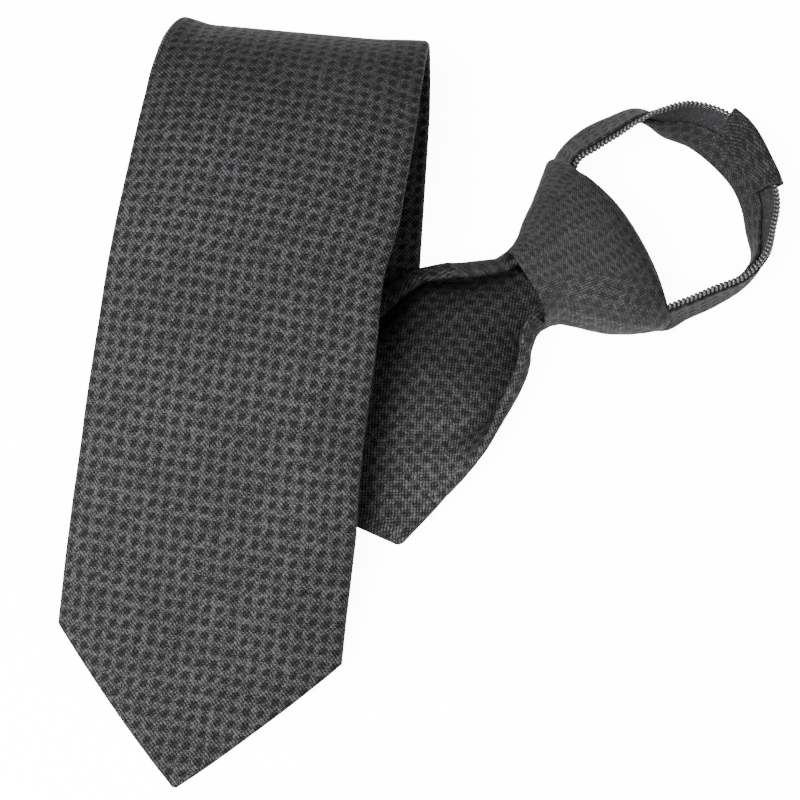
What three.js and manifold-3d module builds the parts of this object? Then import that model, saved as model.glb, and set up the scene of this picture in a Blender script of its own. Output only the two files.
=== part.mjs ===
// Zipper tie lying folded on a table: a ready-made knot, a gathered and twice folded blade,
// and a small neck loop whose two fabric bands carry the halves of a coil zip.
// Millimetres, +Z up. The table is z = 0, X runs to the right and Y away from the viewer.

import * as THREE from 'three';
import Module from 'manifold-3d';

const wasm = await Module();
wasm.setup();

// Blade sizes
const BLADE_THICKNESS = 3.4;
const BLADE_END_THICKNESS = 2.2;
const BLADE_WIDTH = 77.8;
const BLADE_FOLD_WIDTH = 70;
const BLADE_KNOT_WIDTH = 38;
const TIP_LENGTH = 38.5;
const TIP_ROUNDING = 5;
const BLADE_COLUMNS = 14;

// Lengths of blade between the knot, the low fold, the high loop and the shoulders of the tip
const KNOT_TO_FOLD = 93;
const FOLD_TO_LOOP = 121.5;
const LOOP_TO_SHOULDER = 219.5;

// Places and turns of the blade's two folds, seen from above
const LOW_FOLD_CORNER = [-0.7, -40.8];
const LOW_FOLD_LEAN = 155.5;
const BACK_STRIP_LEAN = 2.9;
const LOOP_LEAN = 5.65;
const LOW_FOLD_RADIUS = 2.4;
const MIDDLE_LAYER_RISE = 1.2;

// Knot sizes
const KNOT_LENGTH = 35.5;
const KNOT_WIDE_HALF = 30.5;
const KNOT_HEIGHT = 27.5;
const KNOT_MOUTH_HEIGHT = 26;
const KNOT_WALL = 2.5;
const KNOT_SIDES = 28;
const KNOT_LEAN = 30.6;

// Neck band, zip tape and coil sizes
const BAND_WIDTH = 9.5;
const BAND_WALL = 1.0;
const TAPE_THICKNESS = 1.0;
const SLOT_GAP = 0.3;
const TAPE_START = 6;
const TAPE_END = 14.6;
const COIL_START = 14.9;
const COIL_END = 17.2;
const COIL_THICKNESS = 2.1;
const TAIL_LENGTH = 24;
const TAIL_SWING = 0.15;
const SLEEVE_WALL = 1.0;
const CLEARANCE = 0.3;
const SLOT_EASE = 0.6;

const DEGREE = Math.PI / 180;

// Small vector helpers
const add = (a, b, scale = 1) => [a[0] + b[0] * scale, a[1] + b[1] * scale, a[2] + b[2] * scale];
const subtract = (a, b) => add(a, b, -1);
const length = (a) => Math.hypot(a[0], a[1], a[2]);
const unit = (a) => a.map((value) => value / length(a));
const cross = (a, b) => [
  a[1] * b[2] - a[2] * b[1],
  a[2] * b[0] - a[0] * b[2],
  a[0] * b[1] - a[1] * b[0],
];
const mix = (a, b, share) => a + (b - a) * share;
const clamp01 = (value) => Math.min(1, Math.max(0, value));
const smooth = (value) => {
  const share = clamp01(value);
  return share * share * (3 - 2 * share);
};

// Unit direction on the table, turned by an angle in degrees from +X
const heading = (angle) => [Math.cos(angle * DEGREE), Math.sin(angle * DEGREE), 0];

// Value of a table of [position, value] rows at a position, straight between rows
function lookUp(rows, position) {
  if (position <= rows[0][0]) {
    return rows[0][1];
  }
  for (let row = 1; row < rows.length; row += 1) {
    const [start, startValue] = rows[row - 1];
    const [end, endValue] = rows[row];
    if (position <= end) {
      return mix(startValue, endValue, (position - start) / (end - start));
    }
  }
  return rows[rows.length - 1][1];
}

// Turning tables. A row of LOOP_TURN is [share of the arc, heading in degrees]: how the cloth
// climbs from flat on the table, over the high loop and down the front blade.
const LOOP_ARC = 150;
const LOOP_TURN = [
  [0, 0],
  [0.045, 30],
  [0.12, 92],
  [0.167, 119],
  [0.323, 154],
  [0.425, 166],
  [0.536, 176],
  [0.675, 182],
  [0.825, 190],
];
const TIP_SLOPE_SHARE = 0.6;

// A row is [share of the half width, turn in degrees] across the cloth, up for the gather
const GATHER_TURN = [
  [0, 0],
  [0.12, 0],
  [0.24, 92],
  [0.72, 92],
  [0.92, -35],
  [1, -45],
];
const CROWN_TURN = [
  [0, 0],
  [0.45, 3],
  [1, 26],
];

// How much of each turn is used along the blade: [distance from the knot, share]
const GATHER_LENGTH = 66;
const GATHER_SHARE = [
  [0.06, 1],
  [0.18, 0.72],
  [0.38, 0.5],
  [0.68, 0.32],
  [0.88, 0.09],
  [1, 0],
];
const KNOT_TUCK = 5;
const CROWN_SHARE = [
  [KNOT_TO_FOLD + FOLD_TO_LOOP + 12, 0],
  [KNOT_TO_FOLD + FOLD_TO_LOOP + 60, 1],
  [KNOT_TO_FOLD + FOLD_TO_LOOP + LOOP_TO_SHOULDER, 0.8],
];

// The middle layer bends sideways on its way into the knot
const BEND_START = 60;
const MOUTH_HEADING = 35;

// The neck loop in the knot's own frame: t runs from the knot's mouth to its wide end, c across.
// A row is [coil t, coil c, coil z, edge t, edge c, edge z]; only the edge's direction counts.
const TAIL_ROWS = [
  [-TAIL_LENGTH, 0.2, 1.6, -TAIL_LENGTH, 18, 1.6],
  [-11, 0.2, 1.6, -11, 18, 1.6],
  [-2, 0.2, 4.6, -2, 18, 4.6],
  [3.5, 0.2, 5, 3.5, 18, 5],
  [9.5, 0.85, 5.6, 9.5, 18, 5.6],
  [14, 0.9, 5.7, 14, 18, 5.7],
  [23, 8, 10.5, 23.5, 24, 3],
];
const LOOP_ROWS = [
  [31.5, 20.5, 15.5, 33.5, 28.5, 3.8],
  [40.1, 24.6, 17, 45, 34.6, 4],
  [48.2, 25.8, 17.8, 54.6, 34, 3.5],
  [56.4, 26.6, 18.5, 60.4, 29.2, 2.5],
  [64.8, 26.2, 18, 66.9, 22.2, 2.2],
  [74.6, 22.6, 16.5, 71.4, 15.8, 2.2],
  [81.8, 9.8, 16, 74.2, 6.9, 2.2],
  [82.3, -5.6, 16, 75, -2, 2.2],
  [77.9, -15.8, 16, 73.3, -9.6, 2.2],
  [71.2, -22.8, 17, 70, -16.8, 2.2],
  [64.8, -27.4, 18, 66.4, -24, 2.3],
  [55.8, -29.4, 18.6, 59.4, -28.9, 2.3],
  [45.8, -28.6, 18.6, 49, -29.2, 2.3],
  [37.6, -26, 17.6, 39, -28.4, 3],
  [31.2, -22.5, 16.2, 32.4, -27, 4],
];
const SLIDER_ROW = 4;
const SLEEVE_FROM = 5.9;
const SLEEVE_TO = 7.7;
const SLEEVE_MIDDLE = 6.8;

// Half width of the knot from mouth to wide end: [share of the length, share of the widest]
const KNOT_HALF_WIDTH = [
  [0, 0.385],
  [0.18, 0.455],
  [0.4, 0.71],
  [0.68, 0.965],
  [0.76, 1],
  [0.85, 1],
  [0.9, 0.95],
  [0.94, 0.84],
  [0.97, 0.67],
  [0.99, 0.4],
  [1, 0.06],
];

// Integrates a turning table into [along, up] points, one per step
function integrateTurn(rows, steps, stepLength) {
  const points = [[0, 0]];
  for (let step = 0; step < steps; step += 1) {
    const angle = lookUp(rows, (step + 0.5) / steps) * DEGREE;
    const [along, up] = points[step];
    points.push([along + Math.cos(angle) * stepLength, up + Math.sin(angle) * stepLength]);
  }
  return points;
}

// Point of an integrated profile at a distance, going on straight past either end
function profileAt(points, stepLength, distance) {
  const place = Math.min(Math.max(distance / stepLength, 0), points.length - 1.001);
  const row = Math.floor(place);
  const share = distance / stepLength - row;
  const [startAlong, startUp] = points[row];
  const [endAlong, endUp] = points[row + 1];
  return [mix(startAlong, endAlong, share), mix(startUp, endUp, share)];
}

// Solids are { positions: [[x, y, z]], triangles: [[a, b, c]] }, facing out.
// Joins closed section loops into a solid and caps both ends with one triangulated outline.
function loftLoops(loops, capTriangles) {
  const size = loops[0].length;
  const positions = loops.flat();
  const triangles = [];
  for (let row = 0; row + 1 < loops.length; row += 1) {
    for (let column = 0; column < size; column += 1) {
      const next = (column + 1) % size;
      const a = row * size + column;
      const b = row * size + next;
      triangles.push([a, b, b + size], [a, b + size, a + size]);
    }
  }
  const last = (loops.length - 1) * size;
  for (const [a, b, c] of capTriangles) {
    triangles.push([a, c, b], [last + a, last + b, last + c]);
  }
  return faceOut({ positions, triangles });
}

// Turns every triangle round when the enclosed volume comes out negative
function faceOut(solid) {
  let volume = 0;
  for (const [a, b, c] of solid.triangles) {
    const [p, q, r] = [solid.positions[a], solid.positions[b], solid.positions[c]];
    const normal = cross(q, r);
    volume += p[0] * normal[0] + p[1] * normal[1] + p[2] * normal[2];
  }
  if (volume < 0) {
    solid.triangles = solid.triangles.map(([a, b, c]) => [a, c, b]);
  }
  return solid;
}

// Triangles that fill a flat outline of [x, y] points, turning the same way as the outline
function fillOutline(outline) {
  const contour = outline.map(([x, y]) => new THREE.Vector2(x, y));
  const turn = Math.sign(THREE.ShapeUtils.area(contour));
  return THREE.ShapeUtils.triangulateShape(contour, []).map(([a, b, c]) => {
    const own = Math.sign(THREE.ShapeUtils.area([contour[a], contour[b], contour[c]]));
    return own === turn ? [a, b, c] : [a, c, b];
  });
}

function toManifold(solid) {
  return new wasm.Manifold(new wasm.Mesh({
    numProp: 3,
    vertProperties: Float32Array.from(solid.positions.flat()),
    triVerts: Uint32Array.from(solid.triangles.flat()),
  }));
}

function fromManifold(body) {
  const mesh = body.getMesh();
  const positions = [];
  const triangles = [];
  for (let vertex = 0; vertex < mesh.numVert; vertex += 1) {
    const start = vertex * mesh.numProp;
    positions.push([...mesh.vertProperties.slice(start, start + 3)]);
  }
  for (let face = 0; face < mesh.numTri; face += 1) {
    triangles.push([...mesh.triVerts.slice(face * 3, face * 3 + 3)]);
  }
  return { positions, triangles };
}

function toMesh(name, solid, material) {
  const geometry = new THREE.BufferGeometry();
  geometry.setAttribute('position', new THREE.Float32BufferAttribute(solid.positions.flat(), 3));
  geometry.setIndex(solid.triangles.flat());
  geometry.computeVertexNormals();
  const mesh = new THREE.Mesh(geometry, material);
  mesh.name = name;
  return mesh;
}

// The blade's cloth as a mid surface: u across (to the right on the back strip), s along
const FOLD_AT = KNOT_TO_FOLD;
const LOOP_AT = KNOT_TO_FOLD + FOLD_TO_LOOP;
const SHOULDER_AT = LOOP_AT + LOOP_TO_SHOULDER;
const BLADE_LENGTH = SHOULDER_AT + TIP_LENGTH;
const HALF_THICKNESS = BLADE_THICKNESS / 2;
const STEP = 0.5;
const UP = [0, 0, 1];

const stripAlong = heading(90 - BACK_STRIP_LEAN);
const stripAcross = heading(-BACK_STRIP_LEAN);
const foldLine = heading(LOW_FOLD_LEAN);
const foldAway = heading(LOW_FOLD_LEAN + 90);
const loopLine = heading(-LOOP_LEAN);
const loopAway = heading(90 - LOOP_LEAN);
const foldSkew = Math.tan((LOW_FOLD_LEAN + BACK_STRIP_LEAN - 180) * DEGREE);

const foldCorner = add(
  [LOW_FOLD_CORNER[0], LOW_FOLD_CORNER[1], HALF_THICKNESS],
  foldAway,
  -(LOW_FOLD_RADIUS + HALF_THICKNESS),
);
const foldCentre = add(foldCorner, foldLine, BLADE_FOLD_WIDTH / 2 / Math.abs(Math.cos(Math.atan(foldSkew))));
const loopCentre = add(foldCentre, stripAlong, FOLD_TO_LOOP);

const BLADE_HALF_WIDTH = [
  [0, BLADE_KNOT_WIDTH / 2],
  [GATHER_LENGTH * 0.18, BLADE_FOLD_WIDTH * 0.41],
  [GATHER_LENGTH * 0.5, BLADE_FOLD_WIDTH * 0.465],
  [GATHER_LENGTH, BLADE_FOLD_WIDTH * 0.475],
  [FOLD_AT, BLADE_FOLD_WIDTH / 2],
  [LOOP_AT, mix(BLADE_FOLD_WIDTH, BLADE_WIDTH, 0.4) / 2],
  [LOOP_AT + 60, mix(BLADE_FOLD_WIDTH, BLADE_WIDTH, 0.85) / 2],
  [SHOULDER_AT, BLADE_WIDTH / 2],
];

// Heights and runs of the low fold: half a turn on a small radius, then nearly flat again
const foldTurnLength = Math.PI * LOW_FOLD_RADIUS;
const foldProfile = integrateTurn(
  [[0, 0], [0.5, 180 - MIDDLE_LAYER_RISE], [1, 180 - MIDDLE_LAYER_RISE]],
  Math.round(2 * foldTurnLength / STEP),
  STEP,
);

// The loop's profile for one slope of the front blade, which runs down to the table at its tip
function makeLoopProfile(frontSlope) {
  const rest = LOOP_TO_SHOULDER + TIP_LENGTH;
  const rows = LOOP_TURN.map(([share, turn]) => [share * LOOP_ARC / rest, turn]);
  rows.push([LOOP_ARC / rest, 180 + frontSlope]);
  rows.push([1 - TIP_LENGTH / rest, 180 + frontSlope]);
  rows.push([1, 180 + frontSlope * TIP_SLOPE_SHARE]);
  return integrateTurn(rows, Math.round(rest / STEP), STEP);
}

// The slope at which the tip comes down to lie on the table
function findLoopProfile() {
  let flat = 0;
  let steep = 40;
  for (let round = 0; round < 40; round += 1) {
    const middle = (flat + steep) / 2;
    const profile = makeLoopProfile(middle);
    if (profile[profile.length - 1][1] > 0) {
      flat = middle;
    } else {
      steep = middle;
    }
  }
  return makeLoopProfile(flat);
}
const loopProfile = findLoopProfile();

// A cloth point rolled over a fold line on the table
function roll(point, line, lineDirection, away, profile) {
  const offset = subtract(point, line);
  const past = offset[0] * away[0] + offset[1] * away[1];
  if (past <= 0) {
    return point;
  }
  const beside = offset[0] * lineDirection[0] + offset[1] * lineDirection[1];
  const [run, rise] = profileAt(profile, STEP, past);
  return add(add(add(line, lineDirection, beside), away, run), UP, rise);
}

function foldedPoint(u, s) {
  const flat = add(add(foldCentre, stripAlong, s - FOLD_AT), stripAcross, u);
  if (s > (FOLD_AT + LOOP_AT) / 2) {
    return roll(flat, loopCentre, loopLine, loopAway, loopProfile);
  }
  return roll(flat, foldCentre, foldLine, foldAway, foldProfile);
}

// The centre line near the knot swings round by a table of headings, worked back from the fold
const middleHeading = 2 * LOW_FOLD_LEAN - (90 - BACK_STRIP_LEAN) - 180;
const bendRows = [[0, MOUTH_HEADING], [BEND_START, middleHeading]];
const bentCentre = [foldedPoint(0, BEND_START)];
const riseStep = Math.sin(MIDDLE_LAYER_RISE * DEGREE) * STEP;
for (let s = BEND_START; s > -KNOT_TUCK - 1; s -= STEP) {
  const ahead = add(bentCentre[bentCentre.length - 1], heading(lookUp(bendRows, s - STEP / 2)), STEP);
  bentCentre.push(add(ahead, UP, riseStep));
}

// Centre point, direction across (toward u > 0) and direction of the cloth's back side
function bladeFrame(s) {
  if (s < BEND_START) {
    const place = (BEND_START - s) / STEP;
    const row = Math.min(Math.floor(place), bentCentre.length - 2);
    const centre = add(bentCentre[row], subtract(bentCentre[row + 1], bentCentre[row]), place - row);
    return { centre, across: heading(lookUp(bendRows, s) - 90), back: [0, 0, -1] };
  }
  const centre = foldedPoint(0, s);
  const across = unit(subtract(foldedPoint(0.5, s), foldedPoint(-0.5, s)));
  const along = unit(subtract(foldedPoint(0, s + 0.25), foldedPoint(0, s - 0.25)));
  return { centre, across, back: unit(cross(across, along)) };
}

// Shifts [across, toward the back] that bend the flat section into the gather or the crown
function sectionShift(u, s) {
  const half = bladeHalfWidth(s);
  const gather = lookUp(GATHER_SHARE, s / GATHER_LENGTH);
  const crown = lookUp(CROWN_SHARE, s);
  if (s < LOOP_AT && gather === 0) {
    return [0, 0];
  }
  const turns = s < LOOP_AT ? GATHER_TURN : CROWN_TURN;
  const share = s < LOOP_AT ? gather : crown;
  const side = s < LOOP_AT ? -1 : 1;
  const steps = 24;
  const rows = turns.map(([place, turn]) => [place, turn * share]);
  const profile = integrateTurn(rows, steps, half / steps);
  const [run, rise] = profileAt(profile, half / steps, Math.abs(u));
  return [Math.sign(u) * run - u, side * rise];
}

function bladeHalfWidth(s) {
  if (s <= SHOULDER_AT) {
    return lookUp(BLADE_HALF_WIDTH, s);
  }
  const left = (BLADE_LENGTH - s) / TIP_LENGTH;
  const sharp = left * BLADE_WIDTH / 2;
  return Math.sqrt(sharp * sharp + 2 * sharp * TIP_ROUNDING * left * (1 - left));
}

function bladePoint(u, s) {
  const { across, back } = bladeFrame(s);
  const [shift, drop] = sectionShift(u, s);
  if (s < BEND_START) {
    const { centre } = bladeFrame(s);
    return add(add(centre, across, u + shift), back, drop);
  }
  return add(add(foldedPoint(u, s), across, shift), back, drop);
}

function bladeNormal(u, s) {
  const along = subtract(bladePoint(u, s + 0.3), bladePoint(u, s - 0.3));
  const across = subtract(bladePoint(u + 0.3, s), bladePoint(u - 0.3, s));
  return unit(cross(across, along));
}

// Stations along the blade, close together where it turns
function bladeStations() {
  const stations = [];
  const addRun = (from, to, count) => {
    for (let step = 0; step < count; step += 1) {
      stations.push(mix(from, to, step / count));
    }
  };
  addRun(-KNOT_TUCK, GATHER_LENGTH * 0.3, 8);
  addRun(GATHER_LENGTH * 0.3, FOLD_AT - foldTurnLength - 2, 12);
  addRun(FOLD_AT - foldTurnLength - 2, FOLD_AT + 1, 9);
  addRun(FOLD_AT + 1, LOOP_AT - 2, 8);
  addRun(LOOP_AT - 2, LOOP_AT + 0.18 * LOOP_ARC, 14);
  addRun(LOOP_AT + 0.18 * LOOP_ARC, LOOP_AT + LOOP_ARC, 15);
  addRun(LOOP_AT + LOOP_ARC, SHOULDER_AT, 6);
  addRun(SHOULDER_AT, BLADE_LENGTH - 0.6, 9);
  stations.push(BLADE_LENGTH - 0.6);
  return stations;
}

// Round-edged section of the cloth at a station: [u, offset toward the back] pairs
function clothSection(half, thickness) {
  const edge = Math.min(thickness / 2, half * 0.6);
  const section = [];
  for (let column = 0; column <= BLADE_COLUMNS; column += 1) {
    section.push([mix(-half + edge, half - edge, column / BLADE_COLUMNS), thickness / 2]);
  }
  for (const angle of [50, 0, -50]) {
    section.push([half - edge + edge * Math.cos(angle * DEGREE), thickness / 2 * Math.sin(angle * DEGREE)]);
  }
  const other = section.map(([u, offset]) => [-u, -offset]);
  return [...section, ...other];
}

// Fills the cloth section: a strip between its two faces and a fan at each round edge
function clothCap() {
  const row = BLADE_COLUMNS;
  const other = 2 * row + 4;
  const cap = [];
  for (let column = 0; column < row; column += 1) {
    cap.push([column, column + 1, other - column - 1], [column, other - column - 1, other - column]);
  }
  for (const start of [row, other]) {
    for (let step = 1; step < 4; step += 1) {
      cap.push([start, start + step, (start + step + 1) % (other + 4)]);
    }
  }
  return cap;
}

function makeBlade() {
  const loops = bladeStations().map((s) => {
    const half = bladeHalfWidth(s);
    const thin = mix(BLADE_END_THICKNESS, BLADE_THICKNESS, smooth(s / GATHER_LENGTH));
    const skew = foldSkew * clamp01(1 - (Math.abs(s - FOLD_AT + foldTurnLength / 2) - 8) / 40);
    const tipThin = Math.min(1, 0.5 + half / 12);
    return clothSection(half, thin * tipThin).map(([u, offset]) => {
      const along = s + u * skew;
      return add(bladePoint(u, along), bladeNormal(u, along), offset);
    });
  });
  return loftLoops(loops, clothCap());
}

// The knot's frame: origin at its mouth on the table, t toward its wide end, c across
const knotOrigin = [bladeFrame(0).centre[0], bladeFrame(0).centre[1], 0];
const knotAlong = heading(KNOT_LEAN);
const knotAcross = heading(KNOT_LEAN + 90);

function fromKnot(t, c, z) {
  return add(add(add(knotOrigin, knotAlong, t), knotAcross, c), UP, z);
}

// Rounded box section of the knot at t, drawn in by an inset for the hollow
function knotSection(t, inset) {
  const place = clamp01(t / (KNOT_LENGTH - inset));
  const half = KNOT_WIDE_HALF * lookUp(KNOT_HALF_WIDTH, place) - inset * Math.min(1, 14 * (1.07 - place));
  const height = mix(KNOT_MOUTH_HEIGHT, KNOT_HEIGHT, smooth(place / 0.7)) / 2;
  const rounding = Math.sqrt(Math.max(0, 1 - Math.max(0, (place - 0.74) / 0.265) ** 2));
  const tall = (height - inset) * rounding;
  const corners = mix(4, 2.8, smooth(place));
  const points = [];
  for (let step = 0; step < KNOT_SIDES; step += 1) {
    const angle = (step / KNOT_SIDES) * 2 * Math.PI;
    const [x, y] = [Math.cos(angle), Math.sin(angle)];
    const c = Math.sign(x) * Math.abs(x) ** (2 / corners) * Math.max(half, 0.5);
    const z = Math.sign(y) * Math.abs(y) ** (2 / corners) * Math.max(tall, 0.3);
    points.push(fromKnot(t, c, KNOT_HEIGHT / 2 + z - (KNOT_HEIGHT / 2 - height)));
  }
  return points;
}

function knotBody(start, inset) {
  const end = KNOT_LENGTH - inset;
  const shares = [0, 0.1, 0.2, 0.35, 0.5, 0.65, 0.76, 0.82, 0.87, 0.91, 0.95, 0.975, 0.99, 1];
  const places = shares.map((share) => mix(start, end, share));
  const loops = places.map((t) => knotSection(t, inset));
  const fan = loops[0].map((_, index) => [0, index, (index + 1) % loops[0].length]).slice(1, -1);
  return toManifold(loftLoops(loops, fan));
}

function makeKnot() {
  const shell = knotBody(0, 0).subtract(knotBody(-3, KNOT_WALL));
  const upperSlot = toManifold(sweepNeck(5.5, 8.5, slotSection));
  const lowerSlot = toManifold(sweepNeck(LAST_ROW - 8.5, LAST_ROW - 5.5, slotSection));
  return fromManifold(shell.subtract(upperSlot).subtract(lowerSlot));
}

// The whole run of the neck band and zip: one tail, round the neck, and the other tail
const tailOnSide = (side) => TAIL_ROWS.map(([t, c, z, edgeT, edgeC, edgeZ]) => {
  const swing = Math.min(t, 0) * TAIL_SWING;
  return [t, side * c + swing, z, edgeT, side * edgeC + swing, edgeZ];
});
const neckRows = [...tailOnSide(1), ...LOOP_ROWS, ...tailOnSide(-1).reverse()];
const coilCurve = new THREE.CatmullRomCurve3(
  neckRows.map(([t, c, z]) => new THREE.Vector3(...fromKnot(t, c, z))),
);
const edgeCurve = new THREE.CatmullRomCurve3(
  neckRows.map((row) => {
    const coil = fromKnot(row[0], row[1], row[2]);
    const edge = fromKnot(row[3], row[4], row[5]);
    return new THREE.Vector3(...add(coil, unit(subtract(edge, coil)), COIL_END));
  }),
);
const LAST_ROW = neckRows.length - 1;
const ROW_STEP = 0.25;
const FIRST_LOOP_ROW = TAIL_ROWS.length;

// Frame of the neck run at a row number: edge point, direction to the coil, and the flat's normal
function neckFrame(row) {
  const share = clamp01(row / LAST_ROW);
  const pointOn = (curve, place) => curve.getPoint(clamp01(place)).toArray();
  const middle = (place) => add(pointOn(coilCurve, place), pointOn(edgeCurve, place));
  const edge = pointOn(edgeCurve, share);
  const across = unit(subtract(pointOn(coilCurve, share), edge));
  const along = subtract(middle(share + 0.002), middle(share - 0.002));
  return { edge, across, normal: unit(cross(along, across)) };
}

// Sweeps a section of [across, offset] points along the neck run from one row to another
function sweepNeck(fromRow, toRow, section) {
  const rows = [fromRow];
  for (let step = Math.ceil(fromRow / ROW_STEP + 0.2); step * ROW_STEP < toRow - 0.2 * ROW_STEP; step += 1) {
    rows.push(step * ROW_STEP);
  }
  rows.push(toRow);
  const loops = rows.map((row) => {
    const { edge, across, normal } = neckFrame(row);
    return section(row).map(([v, w]) => add(add(edge, across, v), normal, w));
  });
  return loftLoops(loops, fillOutline(section(fromRow)));
}

const BAND_HALF = BAND_WALL + SLOT_GAP + TAPE_THICKNESS / 2;

// Folded fabric band: round at its fold, with a slot that holds the tape
function bandSection() {
  const slot = TAPE_THICKNESS / 2 + SLOT_GAP;
  const slotStart = TAPE_START - CLEARANCE - 0.1;
  return [
    [BAND_WIDTH, BAND_HALF],
    [BAND_HALF, BAND_HALF],
    [BAND_HALF * 0.35, BAND_HALF * 0.72],
    [0, 0],
    [BAND_HALF * 0.35, -BAND_HALF * 0.72],
    [BAND_HALF, -BAND_HALF],
    [BAND_WIDTH, -BAND_HALF],
    [BAND_WIDTH, -slot],
    [slotStart, -slot],
    [slotStart, slot],
    [BAND_WIDTH, slot],
  ];
}

// Fabric sleeve over the coil where both halves of the zip end at the back of the neck
function sleeveSection() {
  const inner = COIL_THICKNESS / 2 + CLEARANCE;
  const outer = inner + SLEEVE_WALL;
  const start = BAND_WIDTH + CLEARANCE + 0.1;
  const slotEnd = COIL_END + CLEARANCE;
  const end = slotEnd + SLEEVE_WALL;
  return [
    [start, outer],
    [end - outer * 0.6, outer],
    [end - outer * 0.15, outer * 0.6],
    [end, 0],
    [end - outer * 0.15, -outer * 0.6],
    [end - outer * 0.6, -outer],
    [start, -outer],
    [start, -inner],
    [slotEnd, -inner],
    [slotEnd, inner],
    [start, inner],
  ];
}

function tapeSection(row) {
  const inTail = Math.min(row, LAST_ROW - row);
  const start = mix(TAPE_START + 4, TAPE_START, smooth((inTail - 3) / 2));
  const half = TAPE_THICKNESS / 2;
  return [[start, half], [start, -half], [TAPE_END, -half], [TAPE_END, half]];
}

function coilSection() {
  const half = COIL_THICKNESS / 2;
  const chamfer = 0.6;
  return [
    [COIL_START, half - chamfer],
    [COIL_START, -half + chamfer],
    [COIL_START + chamfer, -half],
    [COIL_END - chamfer, -half],
    [COIL_END, -half + chamfer],
    [COIL_END, half - chamfer],
    [COIL_END - chamfer, half],
    [COIL_START + chamfer, half],
  ];
}

// Passage for one side of the neck band through the knot's wall
function slotSection() {
  const half = BAND_HALF + SLOT_EASE;
  const places = [-SLOT_EASE, TAPE_START / 2, TAPE_START, BAND_WIDTH, TAPE_END, COIL_END + SLOT_EASE];
  const upper = places.map((place) => [place, half]);
  const lower = places.map((place) => [place, -half]);
  return [...upper, ...lower.reverse()];
}

// Slider body: two plates round both coils with a post between them
function makeSlider() {
  const plate = 1.2;
  const inner = COIL_THICKNESS / 2 + CLEARANCE;
  const halfWidth = 4.4;
  const postHalf = 0.45;
  const outline = [
    [-halfWidth, inner],
    [-postHalf, inner],
    [-postHalf, -inner],
    [-halfWidth, -inner],
    [-halfWidth, -inner - plate],
    [halfWidth, -inner - plate],
    [halfWidth, -inner],
    [postHalf, -inner],
    [postHalf, inner],
    [halfWidth, inner],
    [halfWidth, inner + plate],
    [-halfWidth, inner + plate],
  ];
  const [start, , height] = TAIL_ROWS[SLIDER_ROW];
  const [end] = TAIL_ROWS[SLIDER_ROW + 1];
  const loops = [start, end].map((t) => outline.map(([c, z]) => fromKnot(t, c, height + z)));
  return loftLoops(loops, fillOutline(outline));
}

// Materials
const fabric = (name, colour, roughness) => {
  const material = new THREE.MeshStandardMaterial({ color: colour, roughness, metalness: 0 });
  material.name = name;
  return material;
};
const weave = fabric('charcoal_weave', 0x4a4a4c, 0.85);
const tapeCloth = fabric('black_tape', 0x1c1c1e, 0.9);
const coilPlastic = fabric('black_coil', 0x242427, 0.45);
const sliderMetal = new THREE.MeshStandardMaterial({ color: 0x3a3a3c, roughness: 0.4, metalness: 0.8 });
sliderMetal.name = 'dark_metal';

const FIRST_BAND_ROW = FIRST_LOOP_ROW - 0.35;
const LAST_BAND_ROW = LAST_ROW - FIRST_BAND_ROW;
const SLEEVE_ROW = FIRST_LOOP_ROW + SLEEVE_MIDDLE;
const HALF_JOINT = 0.02;

const group = new THREE.Group();
group.name = 'zipper_tie';
group.add(toMesh('blade', makeBlade(), weave));
group.add(toMesh('knot', makeKnot(), weave));
group.add(toMesh('neck_band', sweepNeck(FIRST_BAND_ROW, LAST_BAND_ROW, bandSection), weave));
group.add(toMesh('back_sleeve', sweepNeck(
  FIRST_LOOP_ROW + SLEEVE_FROM,
  FIRST_LOOP_ROW + SLEEVE_TO,
  sleeveSection,
), weave));
group.add(toMesh('zip_tape_upper', sweepNeck(0, SLEEVE_ROW - HALF_JOINT, tapeSection), tapeCloth));
group.add(toMesh('zip_tape_lower', sweepNeck(SLEEVE_ROW + HALF_JOINT, LAST_ROW, tapeSection), tapeCloth));
group.add(toMesh('zip_coil_upper', sweepNeck(0, SLEEVE_ROW - HALF_JOINT, coilSection), coilPlastic));
group.add(toMesh('zip_coil_lower', sweepNeck(SLEEVE_ROW + HALF_JOINT, LAST_ROW, coilSection), coilPlastic));
group.add(toMesh('zip_slider', makeSlider(), sliderMetal));

// The origin is the middle of the whole object's footprint, on the table
const box = new THREE.Box3().setFromObject(group);
const centre = box.getCenter(new THREE.Vector3());
for (const mesh of group.children) {
  mesh.geometry.translate(-centre.x, -centre.y, -box.min.z);
}

export default group;
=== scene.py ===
"""Zipper tie: a ready-made knot on a folded woven blade, with a zipped neck loop.

The cloth is worked out from the same sizes as the frame, at a finer mesh, and dressed with a
charcoal micro-check weave that follows each piece's own UV map in metres.
"""

import logging
import math
from dataclasses import dataclass
from enum import Enum

import bmesh
import bpy
import numpy as np
from mathutils import Euler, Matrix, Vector


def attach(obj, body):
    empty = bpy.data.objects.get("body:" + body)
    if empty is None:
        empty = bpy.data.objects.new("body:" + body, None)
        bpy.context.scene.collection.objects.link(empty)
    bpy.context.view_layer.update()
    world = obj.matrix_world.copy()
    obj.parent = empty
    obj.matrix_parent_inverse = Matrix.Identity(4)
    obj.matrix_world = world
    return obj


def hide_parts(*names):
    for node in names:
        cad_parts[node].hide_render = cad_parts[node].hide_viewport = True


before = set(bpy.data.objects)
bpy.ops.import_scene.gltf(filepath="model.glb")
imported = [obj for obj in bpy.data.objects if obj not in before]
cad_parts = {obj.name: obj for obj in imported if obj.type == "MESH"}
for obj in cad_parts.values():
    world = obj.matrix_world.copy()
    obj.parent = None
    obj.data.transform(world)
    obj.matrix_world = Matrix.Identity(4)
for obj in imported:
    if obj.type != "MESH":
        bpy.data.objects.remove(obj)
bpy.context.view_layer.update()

LOG = logging.getLogger("zipper_tie")
MM = 0.001
Array = np.ndarray
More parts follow.
